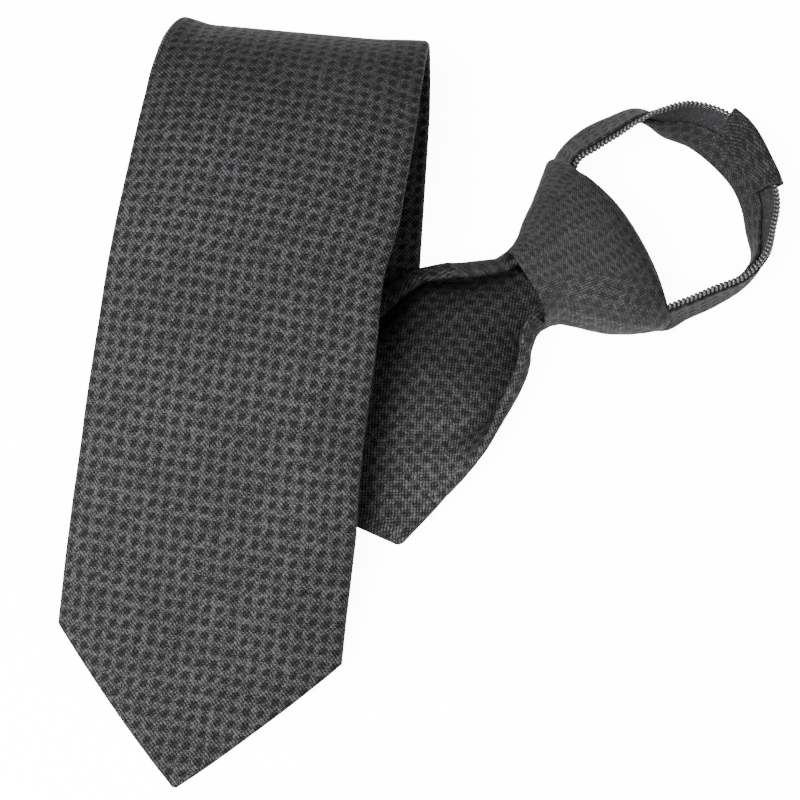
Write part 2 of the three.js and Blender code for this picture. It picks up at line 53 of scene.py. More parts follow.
Rows = tuple[tuple[float, ...], ...]

# The middle of the object's footprint, in millimetres from the point the sizes are laid out from
FOOTPRINT_MIDDLE = (9.2452, 4.8187, 0.0)


class Slot(Enum):
    """Material slots of the record."""

    WEAVE = "charcoal_weave"
    TAPE = "black_tape"
    COIL = "black_coil"
    METAL = "dark_metal"


class Half(Enum):
    """The two halves of the zip."""

    UPPER = "upper"
    LOWER = "lower"


# Small maths helpers


def heading(angle: float) -> Array:
    """Unit direction on the table, turned by an angle in degrees from +X."""
    return np.array([math.cos(math.radians(angle)), math.sin(math.radians(angle)), 0.0])


def look_up(rows: Rows, place: Array | float, column: int = 1) -> Array:
    """Value of a table at a place, straight between its rows.

    Args:
        rows: Table whose first column is the place, in rising order.
        place: Where to read it.
        column: Which column to read.

    Returns:
        The value at each place.
    """
    table = np.asarray(rows, float)
    return np.interp(place, table[:, 0], table[:, column])


def smooth(value: Array | float) -> Array:
    """Eases 0 to 1, held outside."""
    share = np.clip(value, 0.0, 1.0)
    return share * share * (3.0 - 2.0 * share)


def unit(vectors: Array) -> Array:
    """Vectors of length one, along the last axis."""
    return vectors / np.linalg.norm(vectors, axis=-1, keepdims=True)


def integrate_turn(rows: Rows, steps: int, step_length: float) -> Array:
    """Follows a table of [share, turn in degrees].

    Args:
        rows: The turning table.
        steps: Number of steps taken.
        step_length: Length of a step.

    Returns:
        Points as [along, up], one more than the steps.
    """
    angle = np.radians(look_up(rows, (np.arange(steps) + 0.5) / steps))
    moves = np.stack([np.cos(angle), np.sin(angle)], axis=1) * step_length
    return np.vstack([[0.0, 0.0], np.cumsum(moves, axis=0)])


def profile_at(points: Array, step_length: float, distance: Array) -> tuple[Array, Array]:
    """Point of an integrated profile at a distance, straight on past its ends.

    Args:
        points: The profile.
        step_length: Length of its steps.
        distance: Distance along it.

    Returns:
        The run and the rise.
    """
    row = np.clip(distance / step_length, 0, len(points) - 1.001).astype(int)
    share = (distance / step_length - row)[..., None]
    place = points[row] * (1.0 - share) + points[row + 1] * share
    return place[..., 0], place[..., 1]


# Mesh helpers


def make_object(name: str, points: Array, faces: list, uv: Array | None = None) -> bpy.types.Object:
    """Makes a smooth mesh object from millimetres, laid on the row frame.

    Args:
        name: Name of the piece.
        points: Vertices in millimetres.
        faces: Vertex numbers of each face.
        uv: UV of each face corner in metres, in face order.

    Returns:
        The linked object.
    """
    mesh = bpy.data.meshes.new(name)
    place = (np.asarray(points) - FOOTPRINT_MIDDLE) * MM
    mesh.from_pydata(place.tolist(), [], [list(face) for face in faces])
    if uv is not None:
        layer = mesh.uv_layers.new(name="weave")
        layer.data.foreach_set("uv", np.asarray(uv, np.float32).ravel())
    mesh.polygons.foreach_set("use_smooth", [True] * len(mesh.polygons))
    mesh.update()
    thing = bpy.data.objects.new(name, mesh)
    bpy.context.scene.collection.objects.link(thing)
    return thing


def loft(rings: Array, uv: Array) -> tuple[Array, list, Array]:
    """Joins closed rings into a skin, with a flat cap at each end.

    Args:
        rings: Points as [ring, point, xyz].
        uv: UV in metres as [ring, point + 1, 2], the last column for the seam.

    Returns:
        Vertices, faces and UV of each face corner.
    """
    count, size = rings.shape[:2]
    ring, point = np.meshgrid(np.arange(count - 1), np.arange(size), indexing="ij")
    ahead = (point + 1) % size
    quads = np.stack([ring * size + point, ring * size + ahead,
                      (ring + 1) * size + ahead, (ring + 1) * size + point], axis=-1)
    corners = np.stack([uv[ring, point], uv[ring, point + 1],
                        uv[ring + 1, point + 1], uv[ring + 1, point]], axis=-2)
    faces = quads.reshape(-1, 4).tolist()
    faces.append(list(range(size - 1, -1, -1)))
    faces.append(list(range((count - 1) * size, count * size)))
    flat_uv = [corners.reshape(-1, 2), uv[0, size - 1::-1], uv[-1, :size]]
    return rings.reshape(-1, 3), faces, np.vstack(flat_uv)


def face_out(thing: bpy.types.Object) -> None:
    """Turns a closed mesh inside out where its volume is negative."""
    work = bmesh.new()
    work.from_mesh(thing.data)
    if work.calc_volume(signed=True) < 0:
        bmesh.ops.reverse_faces(work, faces=work.faces)
        work.to_mesh(thing.data)
    work.free()


def weld(thing: bpy.types.Object, distance: float) -> None:
    """Merges vertices closer than a distance in metres."""
    work = bmesh.new()
    work.from_mesh(thing.data)
    bmesh.ops.remove_doubles(work, verts=work.verts, dist=distance)
    bmesh.ops.dissolve_degenerate(work, edges=work.edges, dist=distance / 10)
    work.to_mesh(thing.data)
    work.free()


# Shader building


class Nodes:
    """Short hand for adding and linking shader nodes in a tree."""

    def __init__(self, tree: bpy.types.NodeTree) -> None:
        """Keeps the tree."""
        self.tree = tree

    def add(self, kind: str, **settings: object) -> bpy.types.Node:
        """Adds a node of a kind with its settings."""
        node = self.tree.nodes.new(kind)
        for key, value in settings.items():
            setattr(node, key, value)
        return node

    def put(self, socket: bpy.types.NodeSocket, value: object) -> None:
        """Links a socket to a value's socket, or sets its default."""
        if isinstance(value, bpy.types.NodeSocket):
            self.tree.links.new(value, socket)
        else:
            socket.default_value = value

    def fill(self, node: bpy.types.Node, inputs: dict[str, object]) -> bpy.types.Node:
        """Sets or links several inputs of a node by name and gives the node back."""
        for name, value in inputs.items():
            self.put(node.inputs[name], value)
        return node

    def noise(self, vector: object, scale: float, detail: float = 2.0,
              dimensions: str = "3D") -> bpy.types.NodeSocket:
        """Adds a Noise Texture.

        Args:
            vector: Where it is read.
            scale: Its scale.
            detail: Its detail.
            dimensions: 2D on a weave map, 3D in the object's own space.

        Returns:
            Its factor.
        """
        node = self.add("ShaderNodeTexNoise", noise_dimensions=dimensions)
        self.fill(node, {"Vector": vector, "Scale": scale, "Detail": detail})
        return node.outputs["Fac"]

    def scale(self, color: object, factor: object) -> bpy.types.NodeSocket:
        """Scales a colour by a factor."""
        node = self.add("ShaderNodeVectorMath", operation="SCALE")
        self.put(node.inputs[0], color)
        self.put(node.inputs["Scale"], factor)
        return node.outputs[0]

    def math(self, operation: str, *values: object) -> bpy.types.NodeSocket:
        """Adds a Math node.

        Args:
            operation: Name of the operation.
            values: Its inputs, sockets or numbers.

        Returns:
            The output socket.
        """
        node = self.add("ShaderNodeMath", operation=operation)
        for socket, value in zip(node.inputs, values):
            self.put(socket, value)
        return node.outputs[0]

    def remap(self, value: object, low: float, high: float, start: float = 0.0,
              end: float = 1.0) -> bpy.types.NodeSocket:
        """Smooth step of a value from low to high onto start to end."""
        node = self.add("ShaderNodeMapRange", interpolation_type="SMOOTHSTEP")
        self.fill(node, {"Value": value, "From Min": low, "From Max": high, "To Min": start,
                         "To Max": end})
        return node.outputs["Result"]

    def mix_color(self, factor: object, a: object, b: object) -> bpy.types.NodeSocket:
        """Mixes two colours by a factor."""
        node = self.add("ShaderNodeMix", data_type="RGBA")
        self.put(node.inputs["Factor"], factor)
        self.put(node.inputs[6], a)
        self.put(node.inputs[7], b)
        return node.outputs[2]


def new_group(name: str, inputs: dict,
              outputs: dict) -> tuple[Nodes, bpy.types.Node, bpy.types.Node]:
    """Starts a shader node group.

    Args:
        name: Name of the group.
        inputs: Socket name to (socket type, default or None).
        outputs: Socket name to socket type.

    Returns:
        The helper and the group's input and output nodes.
    """
    tree = bpy.data.node_groups.new(name, "ShaderNodeTree")
    for label, (kind, default) in inputs.items():
        socket = tree.interface.new_socket(label, in_out="INPUT", socket_type=kind)
        if default is not None:
            socket.default_value = default
    for label, kind in outputs.items():
        tree.interface.new_socket(label, in_out="OUTPUT", socket_type=kind)
    nodes = Nodes(tree)
    return nodes, nodes.add("NodeGroupInput"), nodes.add("NodeGroupOutput")


FLOAT, COLOR, VECTOR = "NodeSocketFloat", "NodeSocketColor", "NodeSocketVector"


@dataclass(frozen=True)
class MicroCheck:
    """Micro-check weave: one dark spot in a cell, on a ground of fine slanting yarns.

    Attributes:
        drift: How far the columns wander, in cells, which keeps them from being ruler straight.
        drift_scale: Scale of that wandering.
        rising: Radius of a spot along the rising diagonal of its cell.
        falling: Radius along the falling diagonal.
        roundness: Power of the spot's outline, 2 for an ellipse.
        fade: Where the spot's edge starts and ends, in radii.
        calm: Places up the cloth between which its spots gain strength, and the first strength.
        fibre_scale: Scale of the fibres.
        ground_power: Contrast of the ground's yarns.
        painted_glint: Brightness of the painted glint on the few yarns that catch the light.
    """

    drift: float = 0.05
    drift_scale: float = 70.0
    rising: float = 0.58
    falling: float = 0.43
    roundness: float = 1.7
    fade: tuple[float, float] = (1.18, 0.58)
    calm: tuple[float, float, float] = (0.085, 0.12, 0.85)
    fibre_scale: float = 2600.0
    ground_power: float = 1.6
    painted_glint: float = 0.5

    def build(self) -> bpy.types.NodeTree:
        """Builds the shader group."""
        nodes, given, result = new_group(
            "micro_check_weave",
            {
                "UV": (VECTOR, None),
                "Cell Width": (FLOAT, 0.0035),
                "Cell Length": (FLOAT, 0.0037),
                "Ground": (COLOR, (0.09, 0.09, 0.092, 1)),
                "Spot": (COLOR, (0.02, 0.02, 0.021, 1)),
                "Yarns": (FLOAT, 3.0),
            },
            {"Color": COLOR, "Height": FLOAT, "Light Yarn": FLOAT},
        )
        m, uv = nodes.math, given.outputs["UV"]
        drift = nodes.noise(uv, self.drift_scale, 2.0, "2D")
        wander = m("MULTIPLY", m("SUBTRACT", drift, 0.5), self.drift)
        split = nodes.add("ShaderNodeSeparateXYZ")
        nodes.put(split.inputs[0], uv)
        x = m("ADD", m("DIVIDE", split.outputs[0], given.outputs["Cell Width"]), wander)
        y = m("ADD", m("DIVIDE", split.outputs[1], given.outputs["Cell Length"]), wander)
        across = m("SUBTRACT", m("FRACT", x), 0.5)
        along = m("SUBTRACT", m("FRACT", y), 0.5)

        def reach(diagonal: bpy.types.NodeSocket, radius: float) -> bpy.types.NodeSocket:
            """Share of a spot's radius along a diagonal, raised to the outline's power."""
            return m("POWER", m("ABSOLUTE", m("DIVIDE", diagonal, radius)), self.roundness)

        far = m("SQRT", m("ADD", reach(m("SUBTRACT", across, along), self.rising),
                          reach(m("ADD", across, along), self.falling)))
        low, high, first = self.calm
        spot = m("MULTIPLY", nodes.remap(far, *self.fade),
                 nodes.remap(split.outputs[1], low, high, first, 1.0))
        yarn_a = m("MULTIPLY", m("SUBTRACT", x, y), given.outputs["Yarns"])
        yarn_b = m("MULTIPLY", m("ADD", x, y), given.outputs["Yarns"])
        pick = nodes.add("ShaderNodeCombineXYZ")
        nodes.put(pick.inputs[0], m("FLOOR", yarn_a))
        nodes.put(pick.inputs[1], m("FLOOR", yarn_b))
        white = nodes.add("ShaderNodeTexWhiteNoise", noise_dimensions="2D")
        nodes.put(white.inputs["Vector"], pick.outputs[0])
        chance = white.outputs["Value"]
        ridge, cross = (m("SINE", m("MULTIPLY", m("FRACT", yarn), math.pi))
                        for yarn in (yarn_a, yarn_b))
        dot = m("MULTIPLY", ridge, cross)
        stroke = m("ADD", m("MULTIPLY", ridge, 0.4), m("MULTIPLY", dot, 0.6))
        grain = m("SUBTRACT", nodes.noise(uv, self.fibre_scale, 2.0, "2D"), 0.5)
        lively = m("ADD", m("MULTIPLY", chance, 0.4), m("MULTIPLY", grain, 2.4))
        # Painted glint: a few yarns are lightened in the colour as if they caught the light.
        painted_glint = m("MULTIPLY", nodes.remap(chance, 0.8, 0.95, 0.0, self.painted_glint), dot)
        yarns = m("MAXIMUM", m("ADD", m("ADD", m("MULTIPLY", stroke, 0.75), lively), painted_glint), 0.0)
        pit = m("ADD", m("MULTIPLY", dot, 0.3), m("MULTIPLY", grain, 0.8))
        clear = m("SUBTRACT", 1.0, spot)
        light = m("ADD", m("MULTIPLY", m("POWER", yarns, self.ground_power), clear),
                  m("MULTIPLY", pit, spot))
        nodes.fill(result, {
            "Color": nodes.mix_color(light, given.outputs["Spot"], given.outputs["Ground"]),
            "Height": m("ADD", m("MULTIPLY", clear, 0.6), m("MULTIPLY", stroke, 0.5)),
            "Light Yarn": light,
        })
        return nodes.tree


def lint_group() -> bpy.types.NodeTree:
    """Handling marks shared by all finishes: sparse light lint and a soft cloudiness."""
    nodes, given, result = new_group(
        "lint_and_wear",
        {"Coordinate": (VECTOR, None), "Base": (COLOR, (0.1, 0.1, 0.1, 1)), "Amount": (FLOAT, 0.3)},
        {"Color": COLOR},
    )
    where = given.outputs["Coordinate"]
    lint = nodes.math("MULTIPLY", nodes.remap(nodes.noise(where, 900.0, 1.0), 0.66, 0.76),
                      given.outputs["Amount"])
    cloud = nodes.remap(nodes.noise(where, 22.0, 3.0), 0.3, 0.7, 0.88, 1.1)
    tone = nodes.scale(given.outputs["Base"], cloud)
    nodes.put(result.inputs["Color"], nodes.mix_color(lint, tone, (0.3, 0.3, 0.31, 1)))
    return nodes.tree


@dataclass(frozen=True)
class Finish:
    """A procedural material.

    Attributes:
        name: Name of the material.
        ground: Light yarn or base colour.
        spot: Colour of the dark spots, or None for a plain surface.
        roughness: Roughness of the surface.
        metallic: 1 for metal.
        cell: Width and length of a weave cell in metres.
        bump: Height of the relief in metres.
        lint: Strength of the lint.
        yarns: Yarns across one cell of the weave.
        shine: Specular level.
        takes_painted_shade: Whether its colour is darkened by the painted shade kept on the mesh as
            an attribute.
    """

    name: str
    ground: tuple[float, float, float]
    spot: tuple[float, float, float] | None
    roughness: float
    metallic: float = 0.0
    cell: tuple[float, float] = (0.0035, 0.0037)
    bump: float = 0.00025
    lint: float = 0.0
    yarns: float = 3.0
    shine: float = 0.15
    takes_painted_shade: bool = False

    def build(self, groups: dict[str, bpy.types.NodeTree]) -> bpy.types.Material:
        """Builds the material.

        Args:
            groups: The shared shader groups by name.

        Returns:
            The material.
        """
        material = bpy.data.materials.new(self.name)
        material.use_nodes = True
        material.node_tree.nodes.clear()
        nodes = Nodes(material.node_tree)
        output = nodes.add("ShaderNodeOutputMaterial")
        surface = nodes.add("ShaderNodeBsdfPrincipled")
        nodes.put(output.inputs["Surface"], surface.outputs[0])
        where = nodes.add("ShaderNodeTexCoord").outputs["Object"]
        wear = nodes.add("ShaderNodeGroup", node_tree=groups["lint"])
        bump = nodes.add("ShaderNodeBump")
        if self.spot is None:
            base = (*self.ground, 1)
            relief = nodes.noise(where, 3000.0)
            rough = nodes.remap(relief, 0.3, 0.7, self.roughness - 0.06, self.roughness + 0.06)
        else:
            weave = nodes.add("ShaderNodeGroup", node_tree=groups["weave"])
            nodes.fill(weave, {
                "UV": nodes.add("ShaderNodeUVMap", uv_map="weave").outputs[0],
                "Cell Width": self.cell[0],
                "Cell Length": self.cell[1],
                "Ground": (*self.ground, 1),
                "Spot": (*self.spot, 1),
                "Yarns": self.yarns,
            })
            base, relief = weave.outputs["Color"], weave.outputs["Height"]
            rough = nodes.remap(weave.outputs["Light Yarn"], 0.2, 0.9, self.roughness + 0.12,
                                self.roughness - 0.08)
        nodes.fill(wear, {"Coordinate": where, "Amount": self.lint, "Base": base})
        nodes.fill(bump, {"Distance": self.bump, "Height": relief})
        color = wear.outputs["Color"]
        # Painted shade: the colour is darkened by the attribute kept on the mesh.
        if self.takes_painted_shade:
            painted_shade = nodes.add("ShaderNodeAttribute", attribute_name="painted_shade")
            color = nodes.scale(color, nodes.math("SUBTRACT", 1.0, painted_shade.outputs["Fac"]))
        nodes.fill(surface, {
            "Base Color": color,
            "Roughness": rough,
            "Normal": bump.outputs[0],
            "Metallic": self.metallic,
            "Specular IOR Level": self.shine,
        })
        return material


# The blade


@dataclass
class Blade:
    """The folded and rolled blade, one cloth envelope from the knot to the tip.

    Attributes:
        thickness: Thickness of the lined cloth.
        end_thickness: Thickness where it enters the knot.
        width: Widest place, near the shoulders of the tip.
        fold_width: Width at the low fold.
        knot_width: Width of cloth inside the knot.
        tip_length: From the shoulders to the point.
        tip_rounding: Rounding of the point.
        knot_to_fold: Cloth from the knot to the low fold.
        fold_to_loop: Cloth from the low fold to where the loop leaves the table.
        loop_to_shoulder: Cloth from there to the shoulders of the tip.
        fold_corner: Outer corner of the low fold on the table.
        fold_lean: Heading of the low fold's line.
        strip_lean: Lean of the back strip from straight up the table.
        loop_lean: Lean of the loop's line.
        fold_radius: Radius of the low fold's middle surface.
        middle_rise: Slope of the middle layer off the table, in degrees.
        loop_arc: Length of cloth in the loop.
        tip_slope_share: Share of the front's slope that is left at the point.
        gather_length: Length over which the gather opens out.
        knot_tuck: Length of cloth hidden in the knot.
        bend_start: Where the gathered neck starts to turn toward the knot.
        mouth_heading: Heading of the cloth at the knot's mouth.
        step: Step of the folded profiles.
        seam_place: Place of the back seam beside the middle.
        seam_lift: How far the upper layer of that seam stands out.
        crest_sag: How far the loose crest of the loop hangs down.
        rim_shade: Shade on the upper rim's rolled edge.
        columns: Points across the front and across the back of the cloth.
    """

    thickness: float = 3.4
    end_thickness: float = 2.2
    width: float = 77.8
    fold_width: float = 70.0
    knot_width: float = 42.0
    tip_length: float = 38.5
    tip_rounding: float = 5.0
    knot_to_fold: float = 93.0
    fold_to_loop: float = 121.5
    loop_to_shoulder: float = 219.5
    fold_corner: tuple[float, float] = (-0.7, -40.8)
    fold_lean: float = 155.5
    strip_lean: float = 2.9
    loop_lean: float = 5.65
    fold_radius: float = 2.4
    middle_rise: float = 1.2
    loop_arc: float = 150.0
    tip_slope_share: float = 0.6
    gather_length: float = 66.0
    knot_tuck: float = 5.0
    bend_start: float = 60.0
    mouth_heading: float = 35.0
    step: float = 0.25
    seam_place: float = 2.0
    seam_lift: float = 0.5
    crest_sag: float = 1.7
    # rim_shade: Painted shade on the upper rim's rolled edge.
    rim_shade: float = 0.35
    columns: tuple[int, int] = (57, 49)

    # share of the loop's arc, heading in degrees
    loop_turn: Rows = ((0, 0), (0.045, 30), (0.12, 92), (0.167, 119), (0.323, 154), (0.425, 166),
                       (0.536, 176), (0.675, 182), (0.825, 190))
    # share of the cloth past the gather's floor, turn in degrees
    upper_curl: Rows = ((-1.3, 0), (-0.8, -14), (-0.4, -26), (-0.08, -26), (0.04, 46), (0.26, 60),
                        (0.42, 104), (0.72, 145), (1, 178))
    lower_curl: Rows = ((-1.8, 0), (-0.7, -6), (-0.35, -14), (-0.12, -14), (0, 0), (0.18, 60),
                        (0.45, 88), (0.75, 120), (1, 140))
    # share of the half width, turn in degrees
    crown_turn: Rows = ((0, 0), (0.45, 3), (1, 26))
    # distance from the knot, floor and curl of the upper side, floor and curl of the lower side
    gather: Rows = (
        (0, 0.416, 1, 0.475, 1), (5, 0.453, 1, 0.429, 1), (10, 0.484, 1, 0.468, 1),
        (15, 0.567, 1, 0.599, 1), (20, 0.635, 1, 0.673, 1), (25, 0.636, 1, 0.724, 1),
        (30, 0.617, 1, 0.743, 0.85), (35, 0.596, 1, 0.745, 0.66), (40, 0.59, 0.95, 0.736, 0.46),
        (45, 0.62, 0.85, 0.673, 0.28), (50, 0.7, 0.65, 0.595, 0.14), (55, 0.8, 0.4, 0.44, 0.05),
        (60, 0.86, 0.2, 0.3, 0.0), (66, 0.9, 0, 0.25, 0),
    )
    # distance from the knot, painted shade under the upper rim, under the lower rim and all over
    # the front, in the gather and then over the crest of the loop
    shade: Rows = (
        (-5, 0.75, 0.8, 0.62), (10, 0.85, 0.78, 0.6), (25, 0.88, 0.68, 0.54), (38, 0.86, 0.55, 0.2),
        (48, 0.72, 0.25, 0), (60, 0.35, 0, 0), (70, 0, 0, 0), (224, 0, 0, 0), (232, 0, 0, 0.55),
        (256, 0, 0, 0.55), (272, 0, 0, 0.3), (290, 0, 0, 0.14), (320, 0, 0, 0),
    )
    # distance from the knot, drift of the left edge and of the right edge to the right
    edge_drift: Rows = (
        (216, 0, -1), (240, -0.2, -1), (256, -1.2, -0.8), (272, -1.5, -0.6), (280, -1.5, -0.1),
        (296, -1.2, -0.1), (312, -1.1, -0.4), (320, -1.05, -1.4), (328, -1, -2.4),
        (336, -1, -2.25), (344, -0.9, -1.7), (352, -0.8, -1.5), (376, -0.85, -1.4),
        (384, -0.65, -1.15), (392, -0.65, -0.65), (400, -0.65, 0), (416, -0.3, 0.25),
        (424, 0, 0.4), (434, 0.25, 0.8), (455, 0, 0),
    )

    def __post_init__(self) -> None:
        """Works out the places of the folds and their profiles."""
        self.fold_at = self.knot_to_fold
        self.loop_at = self.fold_at + self.fold_to_loop
        self.shoulder_at = self.loop_at + self.loop_to_shoulder
        self.length = self.shoulder_at + self.tip_length
        half = self.thickness / 2
        self.strip_along = heading(90 - self.strip_lean)
        self.strip_across = heading(-self.strip_lean)
        self.fold_line = heading(self.fold_lean)
        self.fold_away = heading(self.fold_lean + 90)
        self.loop_line = heading(-self.loop_lean)
        self.loop_away = heading(90 - self.loop_lean)
        self.fold_skew = math.tan(math.radians(self.fold_lean + self.strip_lean - 180))
        corner = np.array([*self.fold_corner, half]) - self.fold_away * (self.fold_radius + half)
        reach = self.fold_width / 2 / abs(math.cos(math.atan(self.fold_skew)))
        self.fold_centre = corner + self.fold_line * reach
        self.loop_centre = self.fold_centre + self.strip_along * self.fold_to_loop
        self.fold_turn_length = math.pi * self.fold_radius
        flat = 180 - self.middle_rise
        self.fold_profile = integrate_turn(((0, 0), (0.5, flat), (1, flat)),
                                           round(2 * self.fold_turn_length / self.step), self.step)
        self.loop_profile = self.find_loop_profile()
        self.half_rows = (
            (0, self.knot_width / 2),
            (self.gather_length * 0.18, self.fold_width * 0.45),
            (self.gather_length * 0.5, self.fold_width * 0.49),
            (self.gather_length, self.fold_width * 0.485),
            (self.fold_at, self.fold_width / 2),
            (self.loop_at, (self.fold_width * 0.6 + self.width * 0.4) / 2),
            (self.loop_at + 60, (self.fold_width * 0.15 + self.width * 0.85) / 2),
            (self.shoulder_at, self.width / 2),
        )
        self.crown_share = ((self.loop_at + 28, 0), (self.loop_at + 66, 1), (self.shoulder_at, 0.8))
        self.sag_rows = ((self.loop_at, 0), (self.loop_at + 14, self.crest_sag),
                         (self.loop_at + 38, self.crest_sag), (self.loop_at + 70, 0))
        middle_heading = 2 * self.fold_lean - (90 - self.strip_lean) - 180
        self.bend_rows = ((0, self.mouth_heading), (self.bend_start, middle_heading))
        self.bent_centre = self.trace_bend()

    def make_loop_profile(self, slope: float) -> Array:
        """Profile of the high loop and the front blade for one slope of the front."""
        rest = self.loop_to_shoulder + self.tip_length
        rows = [(share * self.loop_arc / rest, turn) for share, turn in self.loop_turn]
        rows.append((self.loop_arc / rest, 180 + slope))
        rows.append((1 - self.tip_length / rest, 180 + slope))
        rows.append((1, 180 + slope * self.tip_slope_share))
        return integrate_turn(tuple(rows), round(rest / self.step), self.step)

    def find_loop_profile(self) -> Array:
        """Finds the slope at which the tip comes down to lie on the table."""
        flat, steep = 0.0, 40.0
        for _ in range(40):
            middle = (flat + steep) / 2
            if self.make_loop_profile(middle)[-1, 1] > 0:
                flat = middle
            else:
                steep = middle
        return self.make_loop_profile(flat)

    def trace_bend(self) -> Array:
        """Centre line near the knot, worked back from the fold."""
        places = np.arange(self.bend_start, -self.knot_tuck - 1, -self.step)
        angle = np.radians(look_up(self.bend_rows, places - self.step / 2))
        rise = math.sin(math.radians(self.middle_rise))
        moves = np.stack([np.cos(angle), np.sin(angle), np.full_like(angle, rise)], axis=1)
        start = self.folded_point(np.array(0.0), np.array(self.bend_start))
        return start + np.vstack([[0, 0, 0], np.cumsum(moves * self.step, axis=0)])

    @staticmethod
    def roll(points: Array, line: Array, direction: Array, away: Array, profile: Array,
             step: float) -> Array:
        """Rolls points over a fold line on the table.

        Args:
            points: Flat points.
            line: A point on the fold line.
            direction: Direction of the fold line.
            away: Direction past it.
            profile: Run and rise of the roll.
            step: Step of the profile.

        Returns:
            The rolled points.
        """
        offset = points - line
        past = offset @ away
        beside = offset @ direction
        run, rise = profile_at(profile, step, np.maximum(past, 0))
        rolled = (line + beside[..., None] * direction + run[..., None] * away
                  + rise[..., None] * np.array([0, 0, 1.0]))
        return np.where((past > 0)[..., None], rolled, points)

    def folded_point(self, u: Array, s: Array) -> Array:
        """Mid surface of the strip, rolled over its low fold and its high loop."""
        flat = (self.fold_centre + (s - self.fold_at)[..., None] * self.strip_along
                + u[..., None] * self.strip_across)
        loop = self.roll(flat, self.loop_centre, self.loop_line, self.loop_away,
                         self.loop_profile, self.step)
        fold = self.roll(flat, self.fold_centre, self.fold_line, self.fold_away,
                         self.fold_profile, self.step)
        past = (s > (self.fold_at + self.loop_at) / 2)[..., None]
        return np.where(past, loop, fold)

    def frame_at(self, s: Array) -> tuple[Array, Array, Array]:
        """Centre, direction across and direction of the cloth's back at distances."""
        zero = np.zeros_like(s)
        centre = self.folded_point(zero, s)
        across = unit(self.folded_point(zero + 0.5, s) - self.folded_point(zero - 0.5, s))
        along = unit(self.folded_point(zero, s + 0.25) - self.folded_point(zero, s - 0.25))
        back = unit(np.cross(across, along))
        place = np.clip((self.bend_start - s) / self.step, 0, None)
        row = np.minimum(place.astype(int), len(self.bent_centre) - 2)
        share = (place - row)[..., None]
        bent = self.bent_centre[row] * (1 - share) + self.bent_centre[row + 1] * share
        angle = np.radians(look_up(self.bend_rows, s) - 90)
        bent_across = np.stack([np.cos(angle), np.sin(angle), np.zeros_like(angle)], axis=-1)
        near = (s < self.bend_start)[..., None]
        return (np.where(near, bent, centre), np.where(near, bent_across, across),
                np.where(near, np.array([0, 0, -1.0]), back))

    def half_width(self, s: Array) -> Array:
        """Half of the blade's width at distances from the knot."""
        left = np.clip((self.length - s) / self.tip_length, 0, 1)
        sharp = left * self.width / 2
        tip = np.sqrt(sharp ** 2 + 2 * sharp * self.tip_rounding * left * (1 - left))
        return np.where(s <= self.shoulder_at, look_up(self.half_rows, s), tip)

    def section_shift(self, u: Array, s: Array) -> tuple[Array, Array]:
        """Shift across and toward the back that bend the flat section."""
        half = self.half_width(s)
        crown = look_up(self.crown_share, s)
        near = s < self.loop_at
        samples = (np.arange(40) + 0.5) / 40
        place = np.abs(u / half)[..., None] * samples
        upper = u < 0
        floor = np.where(upper, look_up(self.gather, s, 1), look_up(self.gather, s, 3))
        curl = np.where(upper, look_up(self.gather, s, 2), look_up(self.gather, s, 4))
        past = (place - floor[..., None]) / (1 - floor[..., None])
        turn = np.where(upper[..., None], look_up(self.upper_curl, past),
                        look_up(self.lower_curl, past))
        gather_angle = turn * curl[..., None]
        crown_angle = look_up(self.crown_turn, place) * crown[..., None]
        angle = np.radians(np.where(near[..., None], gather_angle, crown_angle))
        run = np.abs(u) * np.cos(angle).mean(axis=-1)
        rise = np.abs(u) * np.sin(angle).mean(axis=-1)
        return np.sign(u) * run - u, np.where(near, -1.0, 1.0) * rise

    def point(self, u: Array, s: Array) -> Array:
        """Point of the cloth's mid surface."""
        half = self.half_width(s)
        centre, across, back = self.frame_at(s)
        shift, drop = self.section_shift(u, s)
        share = np.clip((u / np.maximum(half, 1.0) + 1) / 2, 0, 1)
        drift = (look_up(self.edge_drift, s, 1) * (1 - share)
                 + look_up(self.edge_drift, s, 2) * share)
        drift = drift * smooth((s - self.loop_at + 8) / 24)
        bent = centre + (u + shift)[..., None] * across
        folded = self.folded_point(u, s) + (shift + drift)[..., None] * across
        wave = (0.28 * np.sin(2 * np.pi * (s / 83 + u / 190))
                + 0.2 * np.sin(2 * np.pi * (s / 47 - u / 61) + 1))
        sag = look_up(self.sag_rows, s) * smooth(share / 0.14) * (1 - 0.5 * smooth(share * 4 - 3))
        drop = drop + wave * smooth((s - self.loop_at - 40) / 40) + sag
        near = (s < self.bend_start)[..., None]
        return np.where(near, bent, folded) + drop[..., None] * back

    def normal(self, u: Array, s: Array) -> Array:
        """Direction of the cloth's back at points."""
        along = self.point(u, s + 0.3) - self.point(u, s - 0.3)
        across = self.point(u + 0.3, s) - self.point(u - 0.3, s)
        return unit(np.cross(across, along))

    def stations(self) -> Array:
        """Distances of the sections, close together where the cloth turns."""
        fold_in = self.fold_at - self.fold_turn_length - 3
        runs = (
            (-self.knot_tuck, fold_in, 1.2),
            (fold_in, self.fold_at + 2, 0.35),
            (self.fold_at + 2, self.loop_at - 2, 2.5),
            (self.loop_at - 2, self.loop_at + 30, 0.8),
            (self.loop_at + 30, self.shoulder_at, 1.8),
            (self.shoulder_at, self.length - 0.5, 0.9),
        )
        parts = [np.linspace(a, b, max(2, round((b - a) / gap)), endpoint=False)
                 for a, b, gap in runs]
        return np.concatenate([*parts, [self.length - 0.5]])

